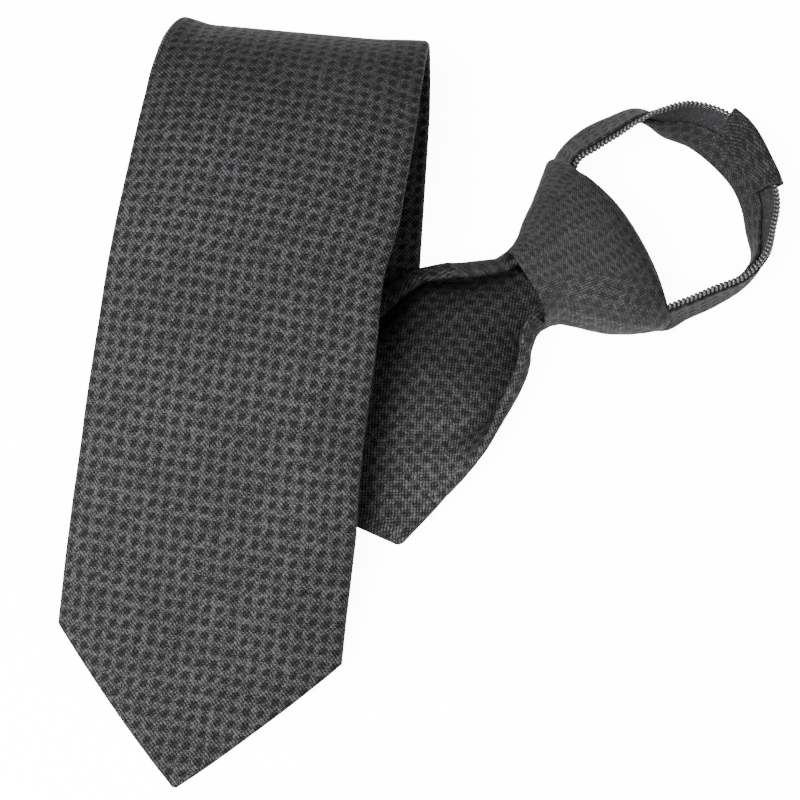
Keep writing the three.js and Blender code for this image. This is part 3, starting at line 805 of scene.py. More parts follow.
    def section(self, half: float, thickness: float) -> tuple[Array, Array, Array]:
        """Round-edged section of the cloth.

        Args:
            half: Half the width there.
            thickness: Thickness there.

        Returns:
            Place across, offset toward the back, and distance round the cloth from the
            middle of its front, with the seam in the middle of its back.
        """
        edge = min(thickness / 2, half * 0.6)
        flat = half - edge
        turn = np.radians(np.arange(-75, 76, 25))
        front_count, back_count = self.columns
        front = np.linspace(-flat, flat, front_count)
        back = np.linspace(flat, -flat, back_count)
        u = np.concatenate([front, flat + edge * np.cos(turn), back, -flat - edge * np.cos(turn)])
        lift = self.seam_lift * smooth((back - self.seam_place) / 0.6 + 0.5) * smooth(
            1 - (back - self.seam_place) / 14)
        w = np.concatenate([
            np.full(front_count, -thickness / 2),
            np.sin(turn) * thickness / 2,
            thickness / 2 + lift * min(1.0, flat / 20),
            -np.sin(turn) * thickness / 2,
        ])
        side = np.pi * edge
        q = np.concatenate([
            front,
            flat + (turn + np.pi / 2) / np.pi * side,
            flat + side + (flat - back),
            flat + side + 2 * flat + (turn + np.pi / 2) / np.pi * side,
        ])
        return u, w, q

    def painted_shade(self, u: Array, s: Array, q: Array) -> Array:
        """Painted shade on the cloth in the gather and over the loop's crest, 0 in the open."""
        upper = u < 0
        floor = np.where(upper, look_up(self.gather, s, 1), look_up(self.gather, s, 3))
        past = (np.abs(u) / self.half_width(s) - floor) / (1 - floor)
        high = smooth((past + 1.0) / 0.8) * (1 - smooth((past - 0.3) / 0.2))
        low = smooth((past + 0.5) / 0.4) * (1 - smooth((past - 0.15) / 0.2))
        deep = np.where(upper, high * look_up(self.shade, s, 1), low * look_up(self.shade, s, 2))
        inside = np.abs(q) < self.half_width(s)
        rim = np.where(upper, self.rim_shade, 0.0) * (1 - smooth((s - 40) / 15))
        return np.where(inside, np.maximum(deep, look_up(self.shade, s, 3)), rim)

    def build(self) -> bpy.types.Object:
        """Builds the blade's cloth with its weave map."""
        rings, maps, shades = [], [], []
        for s in self.stations():
            half = float(self.half_width(np.array(s)))
            thick = self.end_thickness + (self.thickness - self.end_thickness) * float(
                smooth(s / self.gather_length))
            thick *= min(1.0, 0.5 + half / 12)
            skew = self.fold_skew * float(np.clip(
                1 - (abs(s - self.fold_at + self.fold_turn_length / 2) - 8) / 40, 0, 1))
            u, w, q = self.section(half, thick)
            along = s + u * skew
            rings.append(self.point(u, along) + w[:, None] * self.normal(u, along))
            shades.append(self.painted_shade(u, along, q))
            round_cloth = np.append(q, q[-1] + (q[1] - q[0]) * 0.3)
            maps.append(np.stack([round_cloth, np.append(along, along[0])], axis=1) * MM)
        thing = make_object("blade_cloth", *loft(np.array(rings), np.array(maps)))
        # Painted shade, kept on the mesh as an attribute that darkens the cloth's colour.
        layer = thing.data.attributes.new("painted_shade", "FLOAT", "POINT")
        layer.data.foreach_set("value", np.concatenate(shades).astype(np.float32))
        face_out(thing)
        return thing


# The knot


@dataclass
class Knot:
    """The ready-made knot: a cloth shell with a turned-in mouth and a bulging wide end.

    Attributes:
        lean: Heading of its length on the table.
        height: Height at the wide end.
        mouth_height: Height at the mouth.
        corner_at: Distance from the mouth to the wide end's corners.
        bulge: How far the wide end bulges past its corners.
        sides: Points round each section.
    """

    origin: Array
    lean: float = 30.6
    height: float = 27.5
    mouth_height: float = 26.0
    corner_at: float = 30.6
    bulge: float = 6.0
    sides: int = 128

    # distance from the mouth, half width on the lower side, half width on the upper side
    outline: Rows = (
        (0, 13.8, 8.4), (3, 13.8, 9.4), (6, 14.9, 11.2), (9.5, 18.6, 14.3), (12, 21.6, 16.1),
        (15, 24.8, 18.1), (20, 28.4, 22.0), (24, 30.5, 25.2), (27, 31.9, 27.6), (30.6, 32.2, 28.4),
    )
    # share of the length, share of the width, share of the height
    closing: Rows = (
        (0, 1, 1), (0.62, 1, 1), (0.72, 1, 0.965), (0.8, 1, 0.9), (0.87, 1, 0.8),
        (0.92, 0.998, 0.68), (0.955, 0.99, 0.52), (0.98, 0.975, 0.35), (0.993, 0.955, 0.2),
        (1, 0.93, 0),
    )

    # along and across of both ends of a crease or swell, its width and its height
    creases: Rows = (
        (34, 20, 20.5, 13.5, 1.6, -0.9), (20.5, 13.5, 6, 4, 2.4, -0.5),
        (33, -27, 9, -12, 3, -0.5), (30, 2, 8, -1, 8, 0.9),
    )
    # share of the length and draw-in of the sections turned in at the mouth
    mouth: Rows = ((0.30, 3.6), (0.2, 2.8), (0.1, 2.1), (0.04, 1.52), (0.012, 0.96), (0.002, 0.4))

    def place(self, t: Array, c: Array, z: Array) -> Array:
        """Points from distances along, across and up in the knot's own frame."""
        along, across = heading(self.lean), heading(self.lean + 90)
        return (self.origin + t[..., None] * along + c[..., None] * across
                + z[..., None] * np.array([0, 0, 1.0]))

    def ring(self, share: float, inset: float) -> tuple[Array, Array, Array]:
        """One closed section.

        Args:
            share: Place along, 0 at the mouth and 1 at the wide end.
            inset: How far it is drawn in.

        Returns:
            Distances along, across and up of its points.
        """
        angle = np.arange(self.sides) / self.sides * 2 * np.pi
        x, y = np.cos(angle), np.sin(angle)
        power = 2 / (3.4 - 0.8 * float(smooth(share)))
        b = np.sign(x) * np.abs(x) ** power
        v = np.sign(y) * np.abs(y) ** power
        t = share * self.corner_at
        low, high = look_up(self.outline, t, 1), look_up(self.outline, t, 2)
        width = look_up(self.closing, share, 1)
        tall = (self.mouth_height + (self.height - self.mouth_height) * float(smooth(share / 0.7)))
        side = np.where(b > 0, high, low) * width - inset
        c = b * side
        z = tall / 2 + v * (tall / 2 - inset) * look_up(self.closing, share, 2)
        bend = smooth(share) ** 2 * self.bulge * (1 - b * b) - 0.7 * b * smooth(share) ** 2
        return t + bend, c, z

    def relief(self, t: Array, c: Array, z: Array) -> Array:
        """Height of the soft creases and folds pressed into the top of the knot."""
        height = sum(tall * self.near_line(t, c, (a, b), (d, e), wide)
                     for a, b, d, e, wide, tall in self.creases)
        return smooth((z - 15) / 6) * height

    @staticmethod
    def near_line(t: Array, c: Array, a: tuple, b: tuple, width: float) -> Array:
        """Bell-shaped nearness of points to a line from a to b."""
        start, way = np.array(a, float), np.subtract(b, a).astype(float)
        offset = np.stack([t, c], axis=-1) - start
        share = np.clip(offset @ way / (way @ way), 0, 1)
        gap = np.linalg.norm(offset - share[..., None] * way, axis=-1)
        return np.exp(-(gap / width) ** 2)

    def build(self) -> bpy.types.Object:
        """Builds the knot's cloth with its weave map."""
        shares = [0.0, 0.012, 0.03, *np.linspace(0.05, 0.9, 44), *np.linspace(0.91, 0.985, 12),
                  0.99, 0.994, 0.997, 0.9988, 1.0]
        rows = [*self.mouth, *((share, 0.0) for share in shares)]
        rings, flats = [], []
        for number, (share, inset) in enumerate(rows):
            t, c, z = self.ring(share, inset)
            if number >= len(self.mouth):
                z = z + self.relief(t, c, z)
            rings.append(self.place(t, c, z))
            flats.append(np.stack([t, c, z], axis=1))
        flats = np.array(flats)
        points, faces, _ = loft(np.array(rings), np.zeros((len(rows), self.sides + 1, 2)))
        uv = self.weave_map(flats.reshape(-1, 3), faces)
        thing = make_object("knot_cloth", points, faces, uv)
        weld(thing, 0.00002)
        face_out(thing)
        return thing

    def weave_map(self, flat: Array, faces: list) -> Array:
        """Weave map of the knot, with the cloth's direction changing at each crease.

        Args:
            flat: Distances along, across and up of every vertex.
            faces: The faces.

        Returns:
            UV of each face corner.
        """
        parts = []
        for face in faces:
            corner = flat[face]
            middle = corner.mean(axis=0)
            t, c, z = corner.T
            girth = c + np.where(middle[1] > 0, 1.0, -1.0) * (self.height / 2 - z) * 0.9
            left = (middle[1] - 13.5) - (middle[0] - 20.5) * (20 - 13.5) / (34 - 20.5) > 0
            low = middle[1] < -4 - 0.5 * middle[0]
            if left:
                angle, scale = -30.0, (1.0, 1.9)
            elif low:
                angle, scale = 45.0, (1.0, 1.0)
            else:
                angle, scale = 0.0, (0.9, 1.95)
            turn = math.radians(angle)
            a = t * math.cos(turn) - girth * math.sin(turn)
            b = t * math.sin(turn) + girth * math.cos(turn)
            parts.append(np.stack([b * scale[0], a * scale[1]], axis=1) * MM)
        return np.vstack(parts)


# The neck loop


def catmull_rom(points: Array, shares: Array) -> Array:
    """Centripetal Catmull-Rom curve through points.

    Args:
        points: The points it goes through.
        shares: Places on it, 0 to 1.

    Returns:
        A point for each share.
    """
    last = len(points) - 1
    padded = np.vstack([2 * points[0] - points[1], points, 2 * points[-1] - points[-2]])
    place = np.clip(shares, 0, 1) * last
    row = np.minimum(place.astype(int), last - 1)
    weight = (place - row)[:, None]
    p0, p1, p2, p3 = (padded[row + shift] for shift in range(4))
    d0, d1, d2 = (np.maximum(np.sum((b - a) ** 2, axis=1), 1e-12)[:, None] ** 0.25
                  for a, b in ((p0, p1), (p1, p2), (p2, p3)))
    t1 = ((p1 - p0) / d0 - (p2 - p0) / (d0 + d1) + (p2 - p1) / d1) * d1
    t2 = ((p2 - p1) / d1 - (p3 - p1) / (d1 + d2) + (p3 - p2) / d2) * d1
    return (p1 + t1 * weight + (-3 * p1 + 3 * p2 - 2 * t1 - t2) * weight ** 2
            + (2 * p1 - 2 * p2 + t1 + t2) * weight ** 3)


@dataclass
class NeckRun:
    """The run of band, tape and coil: one tail in the knot, round the neck, and back.

    Attributes:
        origin: The knot's mouth on the table.
        coil_end: Distance from the band's fold to the coil's tip.
        tail_swing: Sideways lean of that tail.
        lean: Heading of the knot's length on the table.
        band_middle: Distance from the band's fold at which its rows are spaced.
    """

    origin: Array
    lean: float = 30.6
    coil_end: float = 17.2
    tail_swing: float = 0.15
    band_middle: float = 8.0

    # coil along, across, up; edge along, across, up
    tail_rows: Rows = (
        (-24, 0.2, 1.6, -24, 18, 1.6), (-11, 0.2, 1.6, -11, 18, 1.6), (-2, 0.2, 4.6, -2, 18, 4.6),
        (3.5, 0.2, 5, 3.5, 18, 5), (9.5, 0.85, 5.6, 9.5, 18, 5.6), (14, 0.9, 5.7, 14, 18, 5.7),
        (23, 8, 10.5, 23.5, 24, 3),
    )
    loop_rows: Rows = (
        (34.1, 22.8, 15.5, 35.6, 32.6, 1.7), (40.9, 23.4, 16.5, 44, 34.5, 3.8),
        (48.4, 23.5, 17.5, 53.6, 33.7, 4.6), (55.8, 24, 18.2, 62, 31.7, 4.1),
        (63.5, 24.1, 18.4, 66.1, 22.2, 1.9), (73.3, 21.7, 17.2, 70.4, 15.1, 1.9),
        (81.6, 11.9, 16, 72.4, 5.6, 2.9), (80.9, -3.3, 17.2, 74.4, -2.4, 1.9),
        (77.5, -16.1, 16.9, 72.7, -9.7, 1.9), (70.8, -23.6, 17.4, 69.7, -16.8, 1.9),
        (64.2, -29, 18.3, 66.4, -24.8, 1.9), (55, -31.4, 18.4, 59.9, -29.1, 2),
        (44.9, -30, 18.4, 48.8, -30.1, 1.9), (35.9, -28.8, 18.3, 39.4, -29.2, 1.9),
        (29.4, -26.2, 16.8, 32.5, -28.6, 1.9),
    )
    # row number, how much thicker the soft band is where it twists over
    plump_rows: Rows = ((0, 1), (8.5, 1), (10, 1.5), (11, 1.5), (12, 1), (16, 1), (17.5, 1.3),
                        (19, 1))

    def __post_init__(self) -> None:
        """Lays both curves out."""
        rows = [*self.tail(1), *self.loop_rows, *reversed(self.tail(-1))]
        table = np.array(rows, float)
        self.coil_points = self.from_knot(table[:, :3])
        toward = unit(self.from_knot(table[:, 3:]) - self.coil_points)
        self.edge_points = self.coil_points + toward * self.coil_end
        self.last_row = len(rows) - 1
        self.first_loop_row = len(self.tail_rows)

    def tail(self, side: int) -> list[tuple[float, ...]]:
        """Rows of one tail, mirrored for the other side."""
        rows = []
        for t, c, z, edge_t, edge_c, edge_z in self.tail_rows:
            swing = min(t, 0) * self.tail_swing
            rows.append((t, side * c + swing, z, edge_t, side * edge_c + swing, edge_z))
        return rows

    def from_knot(self, local: Array) -> Array:
        """Points from the knot's own frame."""
        along, across = heading(self.lean), heading(self.lean + 90)
        return (self.origin + local[:, :1] * along + local[:, 1:2] * across
                + local[:, 2:] * np.array([0, 0, 1.0]))

    def frames(self, rows: Array) -> tuple[Array, Array, Array]:
        """Frame of the run at row numbers.

        Args:
            rows: Row numbers, whole or not.

        Returns:
            Edge point, direction to the coil and normal of the flat.
        """
        shares = np.asarray(rows, float) / self.last_row
        edge = catmull_rom(self.edge_points, shares)
        coil = catmull_rom(self.coil_points, shares)
        across = unit(coil - edge)
        ahead = [catmull_rom(p, shares + 0.002) for p in (self.coil_points, self.edge_points)]
        behind = [catmull_rom(p, shares - 0.002) for p in (self.coil_points, self.edge_points)]
        along = unit(sum(ahead) - sum(behind))
        return edge, across, unit(np.cross(along, across))

    def even_rows(self, start: float, end: float, gap: float, v: float) -> Array:
        """Row numbers evenly spaced along the run at a distance from the fold.

        Args:
            start: First row number.
            end: Last row number.
            gap: Spacing in millimetres.
            v: Distance from the band's fold.

        Returns:
            The row numbers.
        """
        fine = np.linspace(start, end, 2000)
        edge, across, _ = self.frames(fine)
        line = edge + across * v
        travel = np.concatenate([[0], np.cumsum(np.linalg.norm(np.diff(line, axis=0), axis=1))])
        count = max(2, int(travel[-1] / gap) + 1)
        return np.interp(np.linspace(0, travel[-1], count), travel, fine)

    def sweep(self, name: str, start: float, end: float, section: Array, gap: float = 0.9,
              swell: float = 0.0) -> bpy.types.Object:
        """Sweeps a closed section of [across, offset] points along the run.

        Args:
            name: Name of the piece.
            start: First row number.
            end: Last row number.
            section: The section's points in millimetres.
            gap: Spacing of the rings.
            swell: Height of slight unevenness along the cloth.

        Returns:
            The object, with its weave map.
        """
        rows = self.even_rows(start, end, gap, self.band_middle)
        edge, across, normal = self.frames(rows)
        travel = np.concatenate([[0], np.cumsum(np.linalg.norm(np.diff(edge, axis=0), axis=1))])
        v, w = section.T
        uneven = swell * np.sin(travel[:, None] / 9 + v[None, :] / 3) * np.sign(w)[None, :]
        plump = np.where(swell > 0, look_up(self.plump_rows, rows), 1.0)[:, None]
        thick = w[None, :] * (1 + (plump - 1) * np.exp(-((v[None, :] - 5.0) / 4.0) ** 2))
        rings = (edge[:, None] + across[:, None] * v[None, :, None]
                 + normal[:, None] * (thick + uneven)[..., None])
        gaps = np.linalg.norm(np.diff(np.vstack([section, section[:1]]), axis=0), axis=1)
        girth = np.concatenate([[0], np.cumsum(gaps)])
        uv = np.stack(np.broadcast_arrays(girth[None, :], travel[:, None]), axis=-1) * MM
        thing = make_object(name, *loft(rings, uv))
        face_out(thing)
        return thing


def fold_section(start: float, high_end: float, low_end: float, outer: float,
                 inner: float, count: int = 9) -> Array:
    """Section of cloth folded round a tape: round at start, open at its free edges.

    Args:
        start: Place of the fold.
        high_end: Place of the free edge on the side the run's normal points to.
        low_end: Place of the free edge on the other side.
        outer: Half the outer thickness.
        inner: Half the gap between the two layers.
        count: Points along each flat part.

    Returns:
        The section's points.
    """
    turn = np.radians(np.linspace(90, 270, 11))
    outside = np.stack([start + outer + outer * np.cos(turn), outer * np.sin(turn)], axis=1)
    inside = np.stack([start + outer + inner * np.cos(turn), inner * np.sin(turn)], axis=1)
    high = np.linspace(high_end, start + outer, count, endpoint=False)
    low = np.linspace(low_end, start + outer, count, endpoint=False)
    lip = (outer - inner) / 2
    cap = np.radians(np.linspace(-60, 60, 4))
    low_cap = np.stack([low_end + lip * np.cos(cap), -outer + lip + lip * np.sin(cap)], axis=1)
    high_cap = np.stack([high_end + lip * np.cos(cap), outer - lip + lip * np.sin(cap)], axis=1)
    parts = [
        np.stack([high, np.full(count, outer)], axis=1),
        outside,
        np.stack([low[::-1], np.full(count, -outer)], axis=1),
        low_cap,
        np.stack([low, np.full(count, -inner)], axis=1),
        inside[::-1],
        np.stack([high[::-1], np.full(count, inner)], axis=1),
        high_cap,
    ]
    return np.vstack(parts)


@dataclass
class NeckLoop:
    """Bands, sleeve, tapes and coils of the neck loop.

    Attributes:
        run: The run that they all follow.
        band_width: Width of the band's outer layer.
        face_width: Width of its layer toward the zip's face.
        band_wall: Thickness of the band's cloth.
        slot_gap: Gap between the band and the tape in it.
        tape_thickness: Thickness of the tape.
        tape_start: Distance from the band's fold to the tape's hidden edge.
        tape_end: Distance to its edge under the coil.
        coil_start: Distance to the back of the coil.
        coil_thickness: Height of the flattened coil.
        wire: Radius of the coil's wire.
        pitch: Spacing of the teeth.
        sleeve_wall: Thickness of the sleeve's cloth.
        sleeve_width: Width of the folded sleeve.
        sleeve_clearance: Gap between the sleeve and the coil's tip.
        sleeve_from: First row of the sleeve, counted from the loop's first.
        sleeve_to: Last row of the sleeve.
        sleeve_middle: Row under the sleeve at which the two halves of the zip meet.
        half_gap: Gap between those halves, as a share of a row.
    """

    run: NeckRun
    band_width: float = 9.5
    face_width: float = 14.5
    band_wall: float = 1.0
    slot_gap: float = 0.1
    tape_thickness: float = 0.7
    tape_start: float = 8.5
    tape_end: float = 15.8
    coil_start: float = 15.2
    coil_thickness: float = 1.8
    wire: float = 0.4
    pitch: float = 1.3
    sleeve_wall: float = 1.0
    sleeve_width: float = 10.2
    sleeve_clearance: float = 0.9
    sleeve_from: float = 5.9
    sleeve_to: float = 7.7
    sleeve_middle: float = 6.8
    half_gap: float = 0.04

    def band_rows(self) -> tuple[float, float]:
        """First and last row number of the band."""
        first = self.run.first_loop_row - 0.35
        return first, self.run.last_row - first

    def sleeve_rows(self) -> tuple[float, float]:
        """First and last row number of the sleeve."""
        row = self.run.first_loop_row
        return row + self.sleeve_from, row + self.sleeve_to

    def flat_size(self, section: Array, first: float, last: float) -> tuple[float, float]:
        """Size of the cloth that a folded strip is cut from.

        Args:
            section: The strip's section, round both faces of its cloth.
            first: First row number of the strip.
            last: Last row number.

        Returns:
            Half the section's girth, and the length along its middle, in metres.
        """
        girth = np.linalg.norm(section - np.roll(section, 1, axis=0), axis=1).sum()
        place = section[:, 0].mean()
        edge, across, _ = self.run.frames(self.run.even_rows(first, last, 1.0, place))
        steps = np.linalg.norm(np.diff(edge + across * place, axis=0), axis=1)
        return float(girth) / 2 * MM, float(steps.sum()) * MM

    def band(self) -> bpy.types.Object:
        """The folded cloth strip with the tape in it."""
        outer = self.band_wall + self.slot_gap + self.tape_thickness / 2
        section = fold_section(0.0, self.band_width, self.face_width, outer,
                               outer - self.band_wall)
        band = self.run.sweep("neck_band_cloth", *self.band_rows(), section, 0.9, 0.08)
        self.flat_size(section, *self.band_rows())
        return band

    def sleeve(self) -> bpy.types.Object:
        """The sleeve folded over the coil at the back of the neck."""
        inner = self.coil_thickness / 2 + 0.35
        outer = inner + self.sleeve_wall
        width = self.sleeve_width
        flip = fold_section(0.0, width, width, outer, inner) * np.array([-1.0, 1.0])
        reach = self.run.coil_end + self.sleeve_clearance + self.sleeve_wall
        section = flip + np.array([reach, 0.0])
        sleeve = self.run.sweep("back_sleeve_cloth", *self.sleeve_rows(), section, 0.6, 0.12)
        self.flat_size(section, *self.sleeve_rows())
        return sleeve

    def half_rows(self, half: Half) -> tuple[float, float]:
        """First and last row number of one half of the zip."""
        middle = self.run.first_loop_row + self.sleeve_middle
        if half is Half.UPPER:
            return 0.0, middle - self.half_gap / 2
        return middle + self.half_gap / 2, float(self.run.last_row)

    def tape(self, half: Half) -> bpy.types.Object:
        """One side's woven tape."""
        start, end = self.half_rows(half)
        t = self.tape_thickness / 2
        v = np.linspace(self.tape_start, self.tape_end, 10)
        section = np.vstack([np.stack([v, np.full_like(v, t)], axis=1),
                             [[self.tape_end + t * 0.8, 0.0]],
                             np.stack([v[::-1], np.full_like(v, -t)], axis=1)])
        return self.run.sweep(f"zip_tape_{half.value}_cloth", start, end, section, 1.0)

    def tooth(self) -> bpy.types.Object:
        """One turn of the flattened nylon coil, along X, reaching out along Y."""
        steps, sides = 16, 7
        angle = np.linspace(0, 2 * np.pi, steps + 1) - np.pi / 2
        reach = (self.run.coil_end - self.coil_start) / 2 - self.wire
        tall = self.coil_thickness / 2 - self.wire
        power = 0.75
        y = np.sign(np.sin(angle)) * np.abs(np.sin(angle)) ** power * reach
        z = np.sign(np.cos(angle)) * np.abs(np.cos(angle)) ** power * tall
        x = (angle + np.pi / 2) / (2 * np.pi) * self.pitch - self.pitch / 2
        middle = self.coil_start + self.wire + reach
        line = np.stack([x, y, z], axis=1)
        ahead = unit(np.gradient(line, axis=0))
        side = unit(np.cross(ahead, np.array([1.0, 0, 0])))
        up = np.cross(side, ahead)
        turn = np.arange(sides) / sides * 2 * np.pi
        head = 1 + 0.35 * smooth((y - reach * 0.55) / (reach * 0.4))
        rings = (line[:, None] + np.array([0, middle, 0])
                 + side[:, None] * (np.cos(turn)[None, :] * self.wire)[..., None]
                 + up[:, None] * (np.sin(turn)[None, :] * self.wire * head[:, None])[..., None])
        uv = np.zeros((steps + 1, sides + 1, 2))
        thing = make_object("coil_turn", *loft(rings + FOOTPRINT_MIDDLE, uv))
        face_out(thing)
        return thing

    def coil(self, half: Half, tooth: bpy.types.Object, tree: bpy.types.NodeTree,
             material: bpy.types.Material) -> bpy.types.Object:
        """One side's coil of teeth.

        Args:
            half: Which half of the zip.
            tooth: One turn of the coil.
            tree: Geometry node tree that sets it along the run.
            material: Finish of the coil.

        Returns:
            The plain mesh object.
        """
        start, end = self.half_rows(half)
        rows = self.run.even_rows(start + 0.02, end - 0.02, self.pitch, 16.0)
        edge, across, normal = self.run.frames(rows)
        along = unit(np.cross(across, normal))
        name = f"zip_coil_{half.value}_teeth"
        holder = make_object(name, edge, [])
        for label, values in (("along", along), ("out", across)):
            layer = holder.data.attributes.new(label, "FLOAT_VECTOR", "POINT")
            layer.data.foreach_set("vector", values.astype(np.float32).ravel())
        inputs = {"Turn": tooth, "Turn Size": 1.0, "Finish": material}
        return realise(holder, tree, inputs)


def path_tree() -> bpy.types.NodeTree:
    """Geometry node tree that sets a shape on points, turned by their attributes."""
    tree = bpy.data.node_groups.new("set_along_path", "GeometryNodeTree")
    face = tree.interface
    face.new_socket("Geometry", in_out="INPUT", socket_type="NodeSocketGeometry")
    face.new_socket("Turn", in_out="INPUT", socket_type="NodeSocketObject")
    face.new_socket("Turn Size", in_out="INPUT", socket_type="NodeSocketFloat")
    face.new_socket("Finish", in_out="INPUT", socket_type="NodeSocketMaterial")
    face.new_socket("Geometry", in_out="OUTPUT", socket_type="NodeSocketGeometry")
    given, result = tree.nodes.new("NodeGroupInput"), tree.nodes.new("NodeGroupOutput")
    info = tree.nodes.new("GeometryNodeObjectInfo")
    place = tree.nodes.new("GeometryNodeInstanceOnPoints")
    turn = tree.nodes.new("FunctionNodeAxesToRotation")
    turn.primary_axis, turn.secondary_axis = "X", "Y"
    real = tree.nodes.new("GeometryNodeRealizeInstances")
    dress = tree.nodes.new("GeometryNodeSetMaterial")
    link = tree.links.new
    for label, socket in (("along", "Primary Axis"), ("out", "Secondary Axis")):
        read = tree.nodes.new("GeometryNodeInputNamedAttribute")
        read.data_type = "FLOAT_VECTOR"
        read.inputs["Name"].default_value = label
        link(read.outputs["Attribute"], turn.inputs[socket])
    link(given.outputs["Geometry"], place.inputs["Points"])
    link(given.outputs["Turn"], info.inputs["Object"])
    link(info.outputs["Geometry"], place.inputs["Instance"])
    link(turn.outputs["Rotation"], place.inputs["Rotation"])
    link(given.outputs["Turn Size"], place.inputs["Scale"])
    link(place.outputs["Instances"], real.inputs["Geometry"])
    link(real.outputs["Geometry"], dress.inputs["Geometry"])
    link(given.outputs["Finish"], dress.inputs["Material"])
    link(dress.outputs["Geometry"], result.inputs["Geometry"])
    return tree


def realise(holder: bpy.types.Object, tree: bpy.types.NodeTree, inputs: dict) -> bpy.types.Object:
    """Runs a geometry node tree on an object and keeps the result as a plain mesh.

    Args:
        holder: Object that gets the modifier.
        tree: The tree.
        inputs: Values by socket name.

    Returns:
        The same object with its mesh made plain.
    """
    modifier = holder.modifiers.new("shape", "NODES")
    modifier.node_group = tree
    for item in tree.interface.items_tree:
        if item.in_out == "INPUT" and item.name in inputs:
            modifier[item.identifier] = inputs[item.name]
    graph = bpy.context.evaluated_depsgraph_get()
    mesh = bpy.data.meshes.new_from_object(holder.evaluated_get(graph))
    holder.modifiers.clear()
    holder.data = mesh
    mesh.polygons.foreach_set("use_smooth", [True] * len(mesh.polygons))
    return holder


# The studio


@dataclass
class Studio:
    """Camera, floor and soft light.

    Attributes:
        elevation: Angle of the camera above the table, in degrees.
        distance: Distance of the camera from what it looks at, in metres.
        lens: Focal length in millimetres.
        target: What it looks at, in millimetres.
        floor_size: Side of the floor in metres.
        floor_glow: Brightness of the floor as the camera sees it.
        room_light: Strength of the light from all round.
        lights: Name, place in metres, size in metres and power in watts of each light.
    """

    elevation: float = 72.0
    distance: float = 0.5
    lens: float = 80.07
    target: tuple[float, float, float] = (0.0, 0.0, 8.0)
    floor_size: float = 12.0
    floor_glow: float = 12.0
    room_light: float = 0.22
    lights: tuple[tuple[str, tuple[float, float, float], float, float], ...] = (
        ("key_light", (-0.8, -0.3, 1.4), 0.9, 80.0),
        ("fill_light", (0.9, -0.6, 1.4), 1.3, 22.0),
        ("front_light", (-0.5, -0.75, 1.4), 0.5, 62.0),
    )

    def build(self) -> None:
        """Builds the camera, the floor and the lights."""
        scene = bpy.context.scene
        look_at = (Vector(self.target) - Vector(FOOTPRINT_MIDDLE)) * MM
        angle = math.radians(self.elevation)
        back = Vector((0, -math.cos(angle), math.sin(angle)))
        camera = bpy.data.objects.new("camera", bpy.data.cameras.new("camera"))
        camera.data.lens = self.lens
        camera.data.sensor_width = 36.0
        camera.location = look_at + back * self.distance
        camera.rotation_euler = Euler((math.pi / 2 - angle, 0, 0))
        scene.collection.objects.link(camera)
        scene.camera = camera
        self.floor()
        for name, place, size, power in self.lights:
            self.light(name, place, size, power)
        world = bpy.data.worlds.new("studio")
        scene.world = world
        world.use_nodes = True
        background = world.node_tree.nodes["Background"]
        background.inputs["Color"].default_value = (1, 1, 1, 1)
        background.inputs["Strength"].default_value = self.room_light

    def floor(self) -> None:
        """A plain pale floor."""
        half = self.floor_size / 2 * 1000
        corners = np.array([[-half, -half, -0.05], [half, -half, -0.05], [half, half, -0.05],
                            [-half, half, -0.05]])
        floor = make_object("floor", corners, [(0, 1, 2, 3)])
        paint = bpy.data.materials.new("pale_floor")
        paint.use_nodes = True
        nodes = Nodes(paint.node_tree)
        surface = paint.node_tree.nodes["Principled BSDF"]
        seen = nodes.add("ShaderNodeLightPath").outputs["Is Camera Ray"]
        nodes.put(surface.inputs["Base Color"], (0.8, 0.8, 0.8, 1))
        nodes.put(surface.inputs["Roughness"], 0.9)
        nodes.put(surface.inputs["Emission Color"], (1, 1, 1, 1))
        nodes.put(surface.inputs["Emission Strength"],
                  nodes.math("MULTIPLY", seen, self.floor_glow))
        floor.data.materials.append(paint)

    @staticmethod
    def light(name: str, place: tuple[float, float, float], size: float, power: float) -> None:
        """A soft square light that faces the object.

        Args:
            name: Name of the light.
            place: Where it stands, in metres.
            size: Its side in metres.
            power: Its power in watts.
        """
        lamp = bpy.data.lights.new(name, "AREA")
        lamp.size = size
        lamp.energy = power
        thing = bpy.data.objects.new(name, lamp)
        thing.location = place
        thing.rotation_euler = (-Vector(place)).to_track_quat("-Z", "Y").to_euler()
        bpy.context.scene.collection.objects.link(thing)


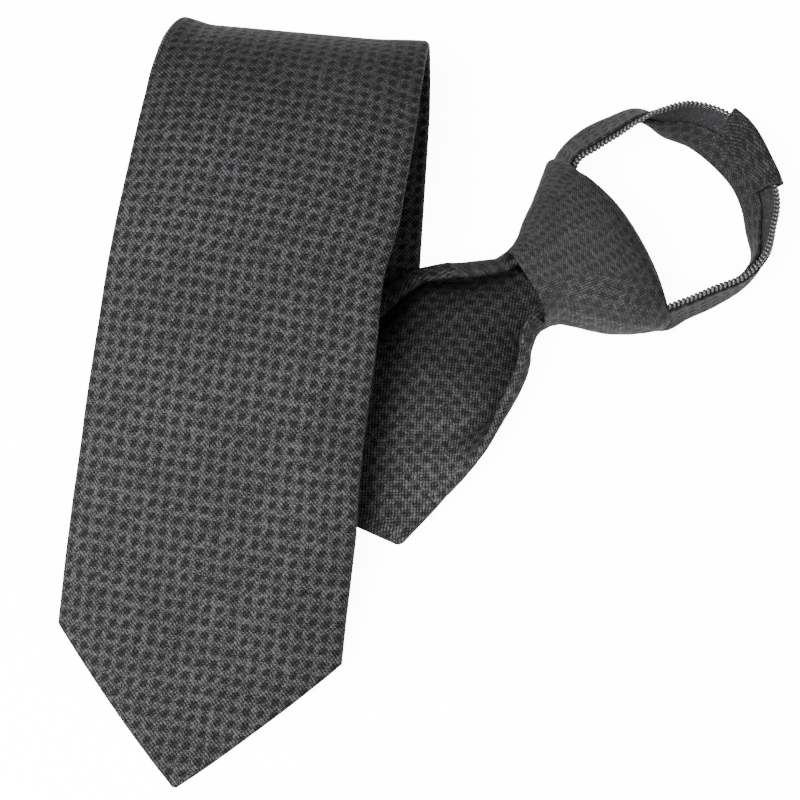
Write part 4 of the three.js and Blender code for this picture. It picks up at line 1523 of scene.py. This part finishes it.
WEAVE = Finish("charcoal_weave_cloth", (0.041, 0.041, 0.0427), (0.001, 0.001, 0.0011), 0.6,
               bump=0.0004, shine=0.06, takes_painted_shade=True)
# Copy of the blade's weave with a darker ground: partly the knot's own tone, partly painted shade.
KNOT_WEAVE_PAINTED_SHADE = Finish("charcoal_knot_cloth_painted_shade", (0.022, 0.022, 0.0229), (0.0014, 0.0014, 0.0015), 0.65)
# Copy of the blade's weave with a darker ground for the band and sleeve: partly their own tone,
# partly painted shade.
BAND_WEAVE_PAINTED_SHADE = Finish("charcoal_band_cloth_painted_shade", (0.017, 0.017, 0.0177), (0.0008, 0.0008, 0.0009), 0.65,
                    shine=0.1)
TAPE = Finish("black_tape_cloth", (0.02, 0.02, 0.021), (0.004, 0.004, 0.0045), 0.8,
              cell=(0.0008, 0.0005), bump=0.0001, lint=0.08, yarns=1.0)
COIL = Finish("black_nylon", (0.02, 0.02, 0.021), None, 0.38, bump=0.00001, shine=0.5)
METAL = Finish("dark_slider_metal", (0.2, 0.2, 0.21), None, 0.4, metallic=1.0, bump=0.00001)


def dress(thing: bpy.types.Object, material: bpy.types.Material, slot: Slot, *nodes: str) -> None:
    """Gives a piece its finish and its body, and hides the CAD nodes it stands for.

    Args:
        thing: The piece.
        material: Its finish.
        slot: Its material slot in the record; not used.
        nodes: The CAD nodes it replaces.
    """
    if not thing.data.materials:
        thing.data.materials.append(material)
    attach(thing, "root")
    if nodes:
        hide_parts(*nodes)
    LOG.info("%s: %d faces", thing.name, len(thing.data.polygons))


def main() -> None:
    """Builds the tie piece by piece."""
    logging.basicConfig(level=logging.INFO)
    groups = {"weave": MicroCheck().build(), "lint": lint_group()}
    weave, knot_weave_painted_shade, band_weave_painted_shade, tape, coil, metal = (
        finish.build(groups) for finish in (WEAVE, KNOT_WEAVE_PAINTED_SHADE, BAND_WEAVE_PAINTED_SHADE, TAPE, COIL, METAL))

    blade = Blade()
    origin = blade.frame_at(np.array(0.0))[0] * np.array([1, 1, 0])
    blade_cloth = blade.build()
    dress(blade_cloth, weave, Slot.WEAVE, "blade")

    knot_cloth = Knot(origin).build()
    dress(knot_cloth, knot_weave_painted_shade, Slot.WEAVE, "knot")

    loop = NeckLoop(NeckRun(origin))
    band = loop.band()
    dress(band, band_weave_painted_shade, Slot.WEAVE, "neck_band")
    sleeve = loop.sleeve()
    dress(sleeve, band_weave_painted_shade, Slot.WEAVE, "back_sleeve")

    tooth, tree = loop.tooth(), path_tree()
    for half in Half:
        tape_cloth = loop.tape(half)
        dress(tape_cloth, tape, Slot.TAPE, f"zip_tape_{half.value}")
        teeth = loop.coil(half, tooth, tree, coil)
        dress(teeth, coil, Slot.COIL, f"zip_coil_{half.value}")
    bpy.data.objects.remove(tooth)

    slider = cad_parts["zip_slider"]
    slider.data.materials.clear()
    slider.data.materials.append(metal)

    Studio().build()


if __name__ == "__main__":
    main()
